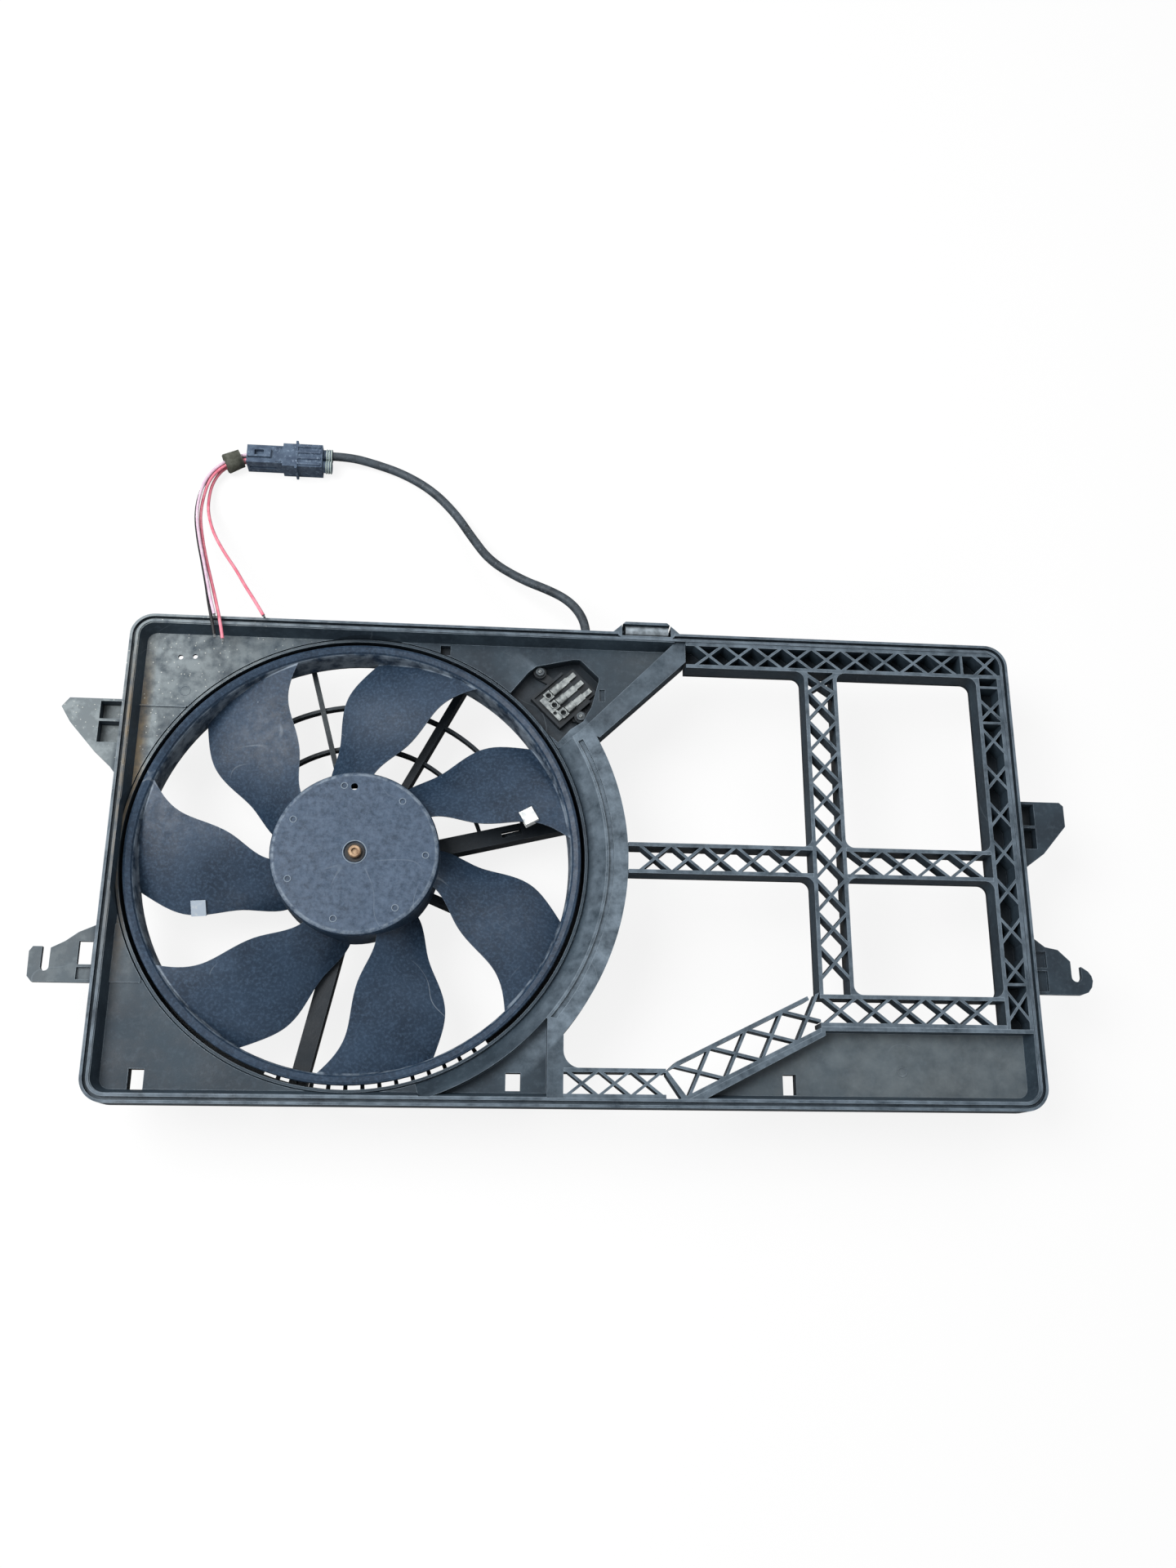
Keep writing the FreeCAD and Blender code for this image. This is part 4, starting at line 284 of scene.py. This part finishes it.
def fan_nylon():
    """Nylon of the fan, injection moulded: smoother and bluer than the cowl.

    A film of grime dulls the blades, the hub's face is mottled by pale fingerprints of dust, and fine
    grit and scratches catch the light.
    """
    material, tree, shader, place = new_material("nylon_fan_moulded")
    high = add(tree, "ShaderNodeSeparateXYZ", {0: place}, "Z")
    round_fan = from_fan(tree, place)
    body = add(tree, "ShaderNodeMix", {0: patches(tree, place, 34, 0.35, 0.66), 6: "#1c2a3a",
                                       7: "#28394c"}, **MIX)
    glimmer = add(tree, "ShaderNodeMath", {0: patches(tree, place, 2.2, 0.46, 0.72), 1: 0.55}, **TIMES)
    body = add(tree, "ShaderNodeMix", {0: glimmer, 6: body, 7: "#465a70"}, **MIX)
    # Pale fingerprints of dust on the hub's front face only.
    face = add(tree, "ShaderNodeMapRange", {0: high, 1: 0.0765, 2: 0.0779})
    mottled = add(tree, "ShaderNodeMath", {0: face, 1: patches(tree, place, 4, 0.26, 0.7, 9)}, **TIMES)
    mottled = add(tree, "ShaderNodeMath", {0: mottled, 1: 0.72}, **TIMES)
    body = add(tree, "ShaderNodeMix", {0: mottled, 6: body, 7: "#5c6c81"}, **MIX)
    # Painted highlight: the hub's rounded edge and the band's lip are paler, standing in for the light they
    # catch. The rims that stand up from the hub's face are paler too.
    edge = add(tree, "ShaderNodeMath", {0: between(tree, round_fan, 0.0608, 0.0632, 0.0012),
                                        1: face}, **TIMES)
    edge = add(tree, "ShaderNodeMath", {0: edge, 1: patches(tree, place, 5, 0.35, 0.6)}, **TIMES)
    lip = add(tree, "ShaderNodeMath", {0: between(tree, round_fan, 0.1628, 0.1642, 0.0006),
                                       1: patches(tree, place, 12, 0.4, 0.6)}, **TIMES)
    pale = add(tree, "ShaderNodeMath", {0: edge, 1: lip}, **MOST)
    raised = add(tree, "ShaderNodeMapRange", {0: high, 1: 0.0780, 2: 0.0782})
    pale = add(tree, "ShaderNodeMath", {0: pale, 1: raised}, **MOST)
    pale = add(tree, "ShaderNodeMath", {0: pale, 1: 0.7}, **TIMES)
    body = add(tree, "ShaderNodeMix", {0: pale, 6: body, 7: "#8b98a5"}, **MIX)
    # Painted highlight and wear: edges are paler, worn and standing in for the light they catch.
    body = add(tree, "ShaderNodeMix", {0: worn_and_lit_edges(tree, place, 0.8, 0.5), 6: body, 7: "#8492a2"}, **MIX)
    grit = add(tree, "ShaderNodeMath", {0: specks(tree, place, 24, 0.7, 0.55),
                                        1: scratches(tree, place, 44, 0.0045, 0.55, 0.66)}, **MOST)
    grit = add(tree, "ShaderNodeMath", {0: grit, 1: 0.5}, **TIMES)
    body = add(tree, "ShaderNodeMix", {0: grit, 6: body, 7: "#8e99a4"}, **MIX)
    tree.links.new(body, shader.inputs["Base Color"])
    rough = add(tree, "ShaderNodeMapRange", {0: patches(tree, place, 7, 0.4, 0.75), 3: 0.36, 4: 0.56})
    tree.links.new(rough, shader.inputs["Roughness"])
    shader.inputs["Specular IOR Level"].default_value = NYLON_SPECULAR
    grain(tree, shader, place, 1.5, 0.1, 0.4)
    return material


def plain_plastic(name, dark, pale, rough, size=9, grit=None):
    """A plain matt or satin finish: two tones in patches, slightly uneven gloss, a fine grain.

    The patches' size is in millimetres. A third tone, where it is given, lies in small spots on top.
    """
    material, tree, shader, place = new_material(name)
    body = add(tree, "ShaderNodeMix", {0: patches(tree, place, size, 0.38, 0.64), 6: dark, 7: pale}, **MIX)
    if grit:
        spots = patches(tree, place, 2.5, 0.56, 0.7)
        body = add(tree, "ShaderNodeMix", {0: spots, 6: body, 7: grit}, **MIX)
    tree.links.new(body, shader.inputs["Base Color"])
    gloss = add(tree, "ShaderNodeMapRange", {0: patches(tree, place, 6, 0.3, 0.7), 3: rough - 0.08,
                                             4: rough + 0.1})
    tree.links.new(gloss, shader.inputs["Roughness"])
    shader.inputs["Specular IOR Level"].default_value = PLASTIC_SPECULAR
    grain(tree, shader, place, 1.5, 0.05)
    return material


def clip_acetal():
    """Natural acetal, moulded: waxy white, and grey where the older clip on the left blade has aged."""
    material, tree, shader, place = new_material("acetal_moulded")
    across = add(tree, "ShaderNodeSeparateXYZ", {0: place})
    aged = add(tree, "ShaderNodeMapRange", {0: across, 1: FAN_X, 2: FAN_X - 0.02})
    body = add(tree, "ShaderNodeMix", {0: aged, 6: "#eceeec", 7: "#a3afbc"}, **MIX)
    body = add(tree, "ShaderNodeMix", {0: patches(tree, place, 5, 0.5, 0.7), 6: body, 7: "#bdc3c6"}, **MIX)
    tree.links.new(body, shader.inputs["Base Color"])
    shader.inputs["Roughness"].default_value = 0.42
    shader.inputs["Specular IOR Level"].default_value = PLASTIC_SPECULAR
    grain(tree, shader, place, 1.5, 0.05)
    return material


def metal(name, dark, pale, rough, size=6):
    """A bare or plated metal, dulled in patches; their size is in millimetres."""
    material, tree, shader, place = new_material(name)
    body = add(tree, "ShaderNodeMix", {0: patches(tree, place, size, 0.36, 0.66), 6: dark, 7: pale}, **MIX)
    tree.links.new(body, shader.inputs["Base Color"])
    shader.inputs["Metallic"].default_value = 1
    gloss = add(tree, "ShaderNodeMapRange", {0: patches(tree, place, size / 2, 0.3, 0.7), 3: rough - 0.1,
                                             4: rough + 0.14})
    tree.links.new(gloss, shader.inputs["Roughness"])
    grain(tree, shader, place, 1.2, 0.04)
    return material


# Cords: routes in millimetres from the middle of the cowl's rectangle, as the CAD part has them


CABLE_THICK = 7.5
WIRE_THICK = 2.6
CABLE = [(7.5, 186, 52), (7.5, 201, 52), (2.6, 216.2, 50.2), (-7.6, 229.8, 46.2), (-23, 240.9, 40.5),
         (-46.5, 254.5, 31), (-73, 275.5, 21), (-89, 300.5, 14), (-104, 326, 8.5), (-125, 350, 4.6),
         (-151, 366, 3.9), (-178, 374.5, 5), (-199, 377, 9.5), (-214, 377, 9.5)]
BLACK = [(-280, 374.6, 5.6), (-290.5, 374.6, 5.6), (-308.7, 365.4, 6.4), (-321, 350, 8), (-325.5, 329, 13),
         (-324, 305, 22), (-317, 277, 36), (-308, 248.5, 53), (-299, 220, 72), (-292, 196, 88.4),
         (-287.5, 178, 88.4), (-285.5, 169, 87)]
WHITE = [(-280, 374.6, 10.8), (-290.5, 374.6, 10.8), (-308.7, 365.4, 9.9), (-320, 350.5, 12),
         (-323.6, 329.5, 17), (-322.3, 305, 25.8), (-315.3, 277, 39.8), (-306.3, 248.7, 56.8),
         (-297.2, 220.3, 75.8), (-290, 197, 91.6), (-286, 184, 91.8)]
PINK_LONG = [(-280, 369.6, 10.8), (-290.5, 369.6, 10.8), (-307.3, 362.6, 9.9), (-317.8, 348.3, 11),
             (-321, 329, 13.6), (-320.2, 305, 22), (-313.1, 277.3, 36), (-304.3, 248.7, 53),
             (-294.7, 221.2, 72), (-286, 195.5, 88.4), (-281, 177, 88.4), (-279, 166, 86.6)]
PINK_SHORT = [(-280, 369.6, 5.6), (-290.5, 369.6, 5.6), (-307.3, 362.6, 6.4), (-316, 347.5, 6.6),
              (-317.5, 328.5, 9), (-314.5, 310, 17), (-305.1, 284, 32), (-290.8, 257.6, 48.5),
              (-278.3, 237.3, 62), (-267.8, 217.6, 74.5), (-257.4, 200.2, 85), (-249, 186, 88.4)]


def make_cord(name, route, thick, material, node):
    """A free cord along its route; thick is in millimetres."""
    data = bpy.data.curves.new(name, "CURVE")
    data.dimensions = "3D"
    data.bevel_depth = thick / 2000
    data.bevel_resolution = 6
    data.resolution_u = 12
    data.use_fill_caps = True
    line = data.splines.new("NURBS")
    line.points.add(len(route) - 1)
    for point, place in zip(line.points, route):
        point.co = (*spot(*place), 1)
    line.order_u = 3
    line.use_endpoint_u = True
    data.materials.append(material)
    piece = bpy.data.objects.new(name, data)
    bpy.context.scene.collection.objects.link(piece)
    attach(piece, "cowl")
    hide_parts(node)


# Pieces that repeat, grown by Geometry Nodes


def sized_tree(name, sizes):
    """An empty tree with a geometry to grow on, a finish, and the named sizes as inputs."""
    tree = bpy.data.node_groups.new(name, "GeometryNodeTree")
    tree.interface.new_socket("Places", in_out="INPUT", socket_type="NodeSocketGeometry")
    tree.interface.new_socket("Finish", in_out="INPUT", socket_type="NodeSocketMaterial")
    for label, kind in sizes:
        tree.interface.new_socket(label, in_out="INPUT", socket_type="NodeSocket" + kind)
    tree.interface.new_socket("Shape", in_out="OUTPUT", socket_type="NodeSocketGeometry")
    return tree, tree.nodes.new("NodeGroupInput").outputs


def end_tree(tree, given, shape):
    """Make the grown copies one mesh and give it its finish."""
    real = add(tree, "GeometryNodeRealizeInstances", {0: shape})
    dressed = add(tree, "GeometryNodeSetMaterial", {"Geometry": real, "Material": given["Finish"]})
    add(tree, "NodeGroupOutput", {0: dressed})
    return tree


def grow(name, tree, places, material, slot, body="cowl", **sizes):
    """Run a tree on a set of places, keep the result as a plain mesh and let it ride on a body."""
    points = bpy.data.meshes.new(name + "_places")
    points.from_pydata([tuple(place) for place in places], [], [])
    source = bpy.data.objects.new(name + "_source", points)
    bpy.context.scene.collection.objects.link(source)
    maker = source.modifiers.new("grow", "NODES")
    maker.node_group = tree
    values = {label.replace("_", " "): value for label, value in sizes.items()}
    values["Finish"] = material
    for item in tree.interface.items_tree:
        if item.in_out == "INPUT" and item.name in values:
            maker[item.identifier] = values[item.name]
    graph = bpy.context.evaluated_depsgraph_get()
    mesh = bpy.data.meshes.new_from_object(source.evaluated_get(graph))
    source.modifiers.remove(maker)
    bpy.data.objects.remove(source)
    mesh.name = name
    piece = bpy.data.objects.new(name, mesh)
    bpy.context.scene.collection.objects.link(piece)
    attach(piece, body)
    return piece


def ring_tree():
    """A round ring at each place, turned as asked: raised rims, eyelets, seal lips."""
    tree, given = sized_tree("rings", [("Ring Radius", "Float"), ("Wire Radius", "Float"),
                                       ("Turn", "Vector")])
    path = add(tree, "GeometryNodeCurvePrimitiveCircle", {
        "Resolution": 40, "Radius": given["Ring Radius"]})
    section = add(tree, "GeometryNodeCurvePrimitiveCircle", {
        "Resolution": 8, "Radius": given["Wire Radius"]})
    ring = add(tree, "GeometryNodeCurveToMesh", {"Curve": path, "Profile Curve": section})
    return end_tree(tree, given, add(tree, "GeometryNodeInstanceOnPoints", {
        "Points": given["Places"], "Instance": ring, "Rotation": given["Turn"]}))


def strand_tree():
    """A bundle of bare strands at each place: one in the middle and six round it."""
    tree, given = sized_tree("strands", [("Bundle Radius", "Float"), ("Strand Radius", "Float"),
                                         ("Length", "Float"), ("Direction", "Vector")])
    end = add(tree, "ShaderNodeCombineXYZ", {"Z": given["Length"]})
    line = add(tree, "GeometryNodeCurvePrimitiveLine", {"End": end})
    section = add(tree, "GeometryNodeCurvePrimitiveCircle", {
        "Resolution": 6, "Radius": given["Strand Radius"]})
    strand = add(tree, "GeometryNodeCurveToMesh", {
        "Curve": line, "Profile Curve": section, "Fill Caps": True})
    circle = add(tree, "GeometryNodeMeshCircle", {"Vertices": 6, "Radius": given["Bundle Radius"]})
    outer = add(tree, "GeometryNodeInstanceOnPoints", {"Points": circle, "Instance": strand})
    bundle = tree.nodes.new("GeometryNodeJoinGeometry")
    tree.links.new(outer, bundle.inputs[0])
    tree.links.new(strand, bundle.inputs[0])
    whole = add(tree, "GeometryNodeRealizeInstances", {0: bundle.outputs[0]})
    turn = add(tree, "FunctionNodeAlignRotationToVector", {"Vector": given["Direction"]}, axis="Z")
    return end_tree(tree, given, add(tree, "GeometryNodeInstanceOnPoints", {
        "Points": given["Places"], "Instance": whole, "Rotation": turn}))


def tape_tree():
    """Cloth tape wound on itself: a flat band swept along a spiral, turned onto the wires."""
    tree, given = sized_tree("tape_wraps", [("Inner Radius", "Float"), ("Outer Radius", "Float"),
                                            ("Width", "Float"), ("Thickness", "Float"), ("Turn", "Vector")])
    path = add(tree, "GeometryNodeCurveSpiral", {
        "Resolution": 40, "Rotations": 2.35, "Start Radius": given["Inner Radius"],
        "End Radius": given["Outer Radius"], "Height": 0.0006})
    section = add(tree, "GeometryNodeCurvePrimitiveQuadrilateral", {
        "Width": given["Thickness"], "Height": given["Width"]})
    band = add(tree, "GeometryNodeCurveToMesh", {
        "Curve": path, "Profile Curve": section, "Fill Caps": True})
    return end_tree(tree, given, add(tree, "GeometryNodeInstanceOnPoints", {
        "Points": given["Places"], "Instance": band, "Rotation": given["Turn"]}))


def rib_tree():
    """A rounded rib at each place, lying along X."""
    tree, given = sized_tree("ribs", [("Length", "Float"), ("Width", "Float"), ("Height", "Float"),
                                      ("Edge Radius", "Float"), ("Turn", "Vector")])
    end = add(tree, "ShaderNodeCombineXYZ", {"X": given["Length"]})
    line = add(tree, "GeometryNodeCurvePrimitiveLine", {"End": end})
    box = add(tree, "GeometryNodeCurvePrimitiveQuadrilateral", {
        "Width": given["Width"], "Height": given["Height"]})
    section = add(tree, "GeometryNodeFilletCurve", {"Curve": box, "Radius": given["Edge Radius"]})
    rib = add(tree, "GeometryNodeCurveToMesh", {
        "Curve": line, "Profile Curve": section, "Fill Caps": True})
    return end_tree(tree, given, add(tree, "GeometryNodeInstanceOnPoints", {
        "Points": given["Places"], "Instance": rib, "Rotation": given["Turn"]}))


# Places on the resistor, and the room


RESISTOR_TURN = math.radians(44)


def on_resistor(across, along, z):
    """A place on the resistor, which lies turned in its pocket."""
    return spot(-14 + across * math.cos(RESISTOR_TURN) - along * math.sin(RESISTOR_TURN),
                133 + across * math.sin(RESISTOR_TURN) + along * math.cos(RESISTOR_TURN), z)


def make_room():
    """White floor that keeps a soft shadow, white surroundings, and three large soft lamps."""
    mesh = bpy.data.meshes.new("floor")
    reach = 6
    mesh.from_pydata([(-reach, -reach, 0), (reach, -reach, 0), (reach, reach, 0), (-reach, reach, 0)], [],
                     [(0, 1, 2, 3)])
    floor = bpy.data.objects.new("floor", mesh)
    floor.location.z = -0.0002
    bpy.context.scene.collection.objects.link(floor)
    material = bpy.data.materials.new("floor_white")
    material.use_nodes = True
    tree = material.node_tree
    tree.nodes.clear()
    seen = add(tree, "ShaderNodeLightPath", {}, "Is Camera Ray")
    tone = add(tree, "ShaderNodeMix", {0: seen, 6: "#8a8a8a", 7: "#f6f6f6"}, **MIX)
    matt = add(tree, "ShaderNodeBsdfDiffuse", {"Color": tone})
    white = add(tree, "ShaderNodeEmission", {"Color": (1, 1, 1, 1), "Strength": 1.0})
    # The camera sees mostly clean white, with 15 percent of the matt floor that carries the shadow.
    share = add(tree, "ShaderNodeMath", {0: seen, 1: 0.85}, **TIMES)
    surface = add(tree, "ShaderNodeMixShader", {0: share, 1: matt, 2: white})
    add(tree, "ShaderNodeOutputMaterial", {"Surface": surface})
    floor.data.materials.append(material)
    world = bpy.data.worlds.new("surroundings")
    bpy.context.scene.world = world
    world.use_nodes = True
    tree = world.node_tree
    tree.nodes.clear()
    rays = tree.nodes.new("ShaderNodeLightPath").outputs
    seen = add(tree, "ShaderNodeMath", {0: rays["Is Camera Ray"], 1: rays["Is Glossy Ray"]}, **MOST)
    strength = add(tree, "ShaderNodeMapRange", {0: seen, 3: 0.3, 4: 0.9})
    sky = add(tree, "ShaderNodeBackground", {"Color": (1, 1, 1, 1), "Strength": strength})
    add(tree, "ShaderNodeOutputWorld", {"Surface": sky})
    make_lamp("key_lamp", (-1.2, 0.3, 1.85), (-0.1, 0, 0), 1.4, 46)
    make_lamp("fill_lamp", (0.5, 1.3, 1.8), (0.05, 0, 0), 1.2, 10)
    make_lamp("front_lamp", (-0.2, -1.6, 1.3), (0, 0, 0), 1.0, 5)


# Making


make_camera()

# The cords' materials. The sheath is matt, with dust in its pores.
cable_sheath = plain_plastic("sheath_pvc_extruded", "#262d33", "#414a52", 0.5, 14, "#566069")
# Smooth and a little waxy, each in its own colour.
pink_pvc = plain_plastic("wire_pvc_pink_extruded", "#dc7286", "#f094a4", 0.38)
black_pvc = plain_plastic("wire_pvc_black_extruded", "#141416", "#232327", 0.4)
white_pvc = plain_plastic("wire_pvc_white_extruded", "#d9b9cf", "#e6d3e0", 0.4)
# Slate blue, dull, with pale handled spots.
connector_pbt = plain_plastic("connector_pbt_moulded", "#37465a", "#536478", 0.45, 8, "#76879a")
# The roughest of all, olive grey and without any gloss.
tape_cloth = plain_plastic("tape_cloth_woven", "#45473f", "#5d5f57", 0.85, 5)

make_cord("cable_line", CABLE, CABLE_THICK, cable_sheath, "cable_sheath")
make_cord("wire_black_line", BLACK, WIRE_THICK, black_pvc, "wire_black")
make_cord("wire_white_line", WHITE, WIRE_THICK, white_pvc, "wire_white")
make_cord("wire_pink_long_line", PINK_LONG, WIRE_THICK, pink_pvc, "wire_pink_long")
make_cord("wire_pink_short_line", PINK_SHORT, WIRE_THICK, pink_pvc, "wire_pink_short")

cowl_nylon = glass_filled_nylon()
wheel_nylon = fan_nylon()
# Metals: soft, patchy reflections, none of them bright any more.
galvanised = metal("steel_galvanised_folded", "#646c72", "#939ca3", 0.5)
tinned = metal("brass_tinned_stamped", "#676c6e", "#9a9f9e", 0.5, 3)
zinc = metal("steel_zinc_plated_headed", "#55585a", "#7e8182", 0.5)
dulled_steel = metal("steel_phosphated_headed", "#3a3f43", "#5a6064", 0.5, 3)
# Warm brown: it is the only warm spot in the middle of the wheel.
bronze = metal("steel_browned_headed", "#5d4a3b", "#a18a72", 0.45)
# Yellow, red and grey inside the motor, where only an opened motor shows them.
brass = metal("brass_turned", "#8f7a45", "#b59c63", 0.35)
copper = metal("copper_enamelled_wound", "#8a4a2c", "#b36a45", 0.35)
lamination = metal("steel_laminated_stamped", "#5c5e60", "#77797b", 0.4)
# Blacks: they differ in gloss more than in tone.
can_steel = plain_plastic("steel_painted_black", "#18191b", "#292a2d", 0.5)
ferrite = plain_plastic("ferrite_sintered", "#2a2a2b", "#353536", 0.6)
carbon = plain_plastic("carbon_sintered", "#161617", "#202021", 0.5)
phenolic = plain_plastic("phenolic_moulded", "#11161a", "#1f262c", 0.5)
black_washer = plain_plastic("steel_blackened_stamped", "#141415", "#262628", 0.42)
acetal = clip_acetal()
# Pale grey-green rubber, seen as thin lips at the socket's mouth.
seal_silicone = plain_plastic("silicone_seal_moulded", "#8f9e9c", "#b4c1be", 0.5)

FINISHES = {
    "cowl_plastic": cowl_nylon, "fan_plastic": wheel_nylon, "clip_metal": galvanised,
    "clip_white": acetal, "tinned_strip": tinned, "resistor_plastic": phenolic,
    "screw_bronze": bronze, "insert_brass": brass, "washer_black": black_washer,
    "can_steel": can_steel, "screw_steel": dulled_steel, "shaft_steel": zinc,
    "magnet_grey": ferrite, "core_steel": lamination, "copper": copper, "carbon": carbon,
    "bearing_bronze": brass, "cable_black": cable_sheath, "connector_grey": connector_pbt,
    "tape_dark": tape_cloth, "wire_black": black_pvc, "wire_white": white_pvc, "wire_pink": pink_pvc,
}
for row in frame["record"]["subparts"]:
    dressed = NODES[row["node"]]
    dressed.data.materials.clear()
    dressed.data.materials.append(FINISHES[row["material_slot"]])

rings = ring_tree()
HUB_MARKS = 7
HUB_MARK_REACH = 0.053
FIRST_MARK = -1.4
hub_places = []
for i in range(HUB_MARKS):
    turn = math.radians(360 * i / HUB_MARKS + FIRST_MARK)
    hub_places.append((FAN_X + HUB_MARK_REACH * math.cos(turn),
                       FAN_Y + HUB_MARK_REACH * math.sin(turn), HUB_TOP))
grow("hub_mark_rims", rings, hub_places, wheel_nylon, "fan_plastic", "rotor",
     Ring_Radius=0.0024, Wire_Radius=0.0004)
grow("hub_screw_rim", rings, [(FAN_X, FAN_Y, HUB_TOP)], wheel_nylon, "fan_plastic", "rotor",
     Ring_Radius=0.0088, Wire_Radius=0.0005)
EJECTOR_PLACES = [(-307, 128, 70), (244, -157, 70)]
grow("ejector_marks", rings, [spot(*place) for place in EJECTOR_PLACES], cowl_nylon, "cowl_plastic",
     Ring_Radius=0.0038, Wire_Radius=0.00035)

# Open tin-plated strips of the resistor, in its own axes: where each begins along X, and its Y. Eyelets
# and crimped sleeves sit a little way along them.
STRIPS = ((-8, 9), (-10, 0), (-9, -9.5))
STRIP_TOP = 65.6
EYELET_ALONG = 3
SLEEVE_ALONG = 6.5
grow("strip_eyelets", rings, [on_resistor(start + EYELET_ALONG, y, STRIP_TOP) for start, y in STRIPS],
     tinned, "tinned_strip", Ring_Radius=0.0026, Wire_Radius=0.0006)

# A ring as thick as it is wide closes to a low boss in the middle of each screw's head.
SCREW_PLACES = [(-31, 156, 67.1), (2, 119, 67.1)]
grow("screw_centres", rings, [spot(*place) for place in SCREW_PLACES], tinned, "screw_steel",
     Ring_Radius=0.0008, Wire_Radius=0.0008)

SOCKET_TUBES = [(377, 9.5), (366, 9.5)]
SEAL_LIPS = (-214.6, -216.6, -218.6)
grow("seal_lips", rings, [spot(x, y, z) for y, z in SOCKET_TUBES for x in SEAL_LIPS], seal_silicone,
     "connector_grey", Ring_Radius=0.0052, Wire_Radius=0.0007, Turn=(0, math.pi / 2, 0))

strands = strand_tree()
STRAND_SUNK = 0.0004
WIRE_ENDS = [("black", BLACK), ("white", WHITE), ("pink_long", PINK_LONG), ("pink_short", PINK_SHORT)]
for label, route in WIRE_ENDS:
    ahead = (spot(*route[-1]) - spot(*route[-2])).normalized()
    grow("strands_" + label, strands, [spot(*route[-1]) - ahead * STRAND_SUNK], zinc, "wire_white",
         Bundle_Radius=0.0006, Strand_Radius=0.00028, Length=0.003, Direction=tuple(ahead))

# The tape's middle, and its turn about Z: the way of the wires where they leave the plug.
TAPE_PLACE = (-299.5, 368.3, 8.1)
TAPE_TURN = math.radians(26.6)
grow("tape_wrap", tape_tree(), [spot(*TAPE_PLACE)], tape_cloth, "tape_dark",
     Inner_Radius=0.0078, Outer_Radius=0.0081, Width=0.0142, Thickness=0.0005,
     Turn=(0, math.pi / 2, TAPE_TURN))

ribs = rib_tree()
grow("crimp_sleeves", ribs, [on_resistor(start + SLEEVE_ALONG, y, STRIP_TOP) for start, y in STRIPS],
     tinned, "tinned_strip", Length=0.0085, Width=0.0064, Height=0.0026, Edge_Radius=0.0008,
     Turn=(0, 0, RESISTOR_TURN))
SOCKET_RIBS = 4
RIB_SPACING = 5.7
grow("socket_ribs", ribs, [spot(-243, 363 + RIB_SPACING * i, 18.7) for i in range(SOCKET_RIBS)],
     connector_pbt, "connector_grey", Length=0.0195, Width=0.0026, Height=0.0022, Edge_Radius=0.0006)
grow("plug_ribs", ribs, [spot(-262, y, 18.2) for y in (364.5, 378.5)], connector_pbt, "connector_grey",
     Length=0.0045, Width=0.0018, Height=0.0016, Edge_Radius=0.0004)


make_room()
bpy.context.scene.view_settings.view_transform = "Standard"
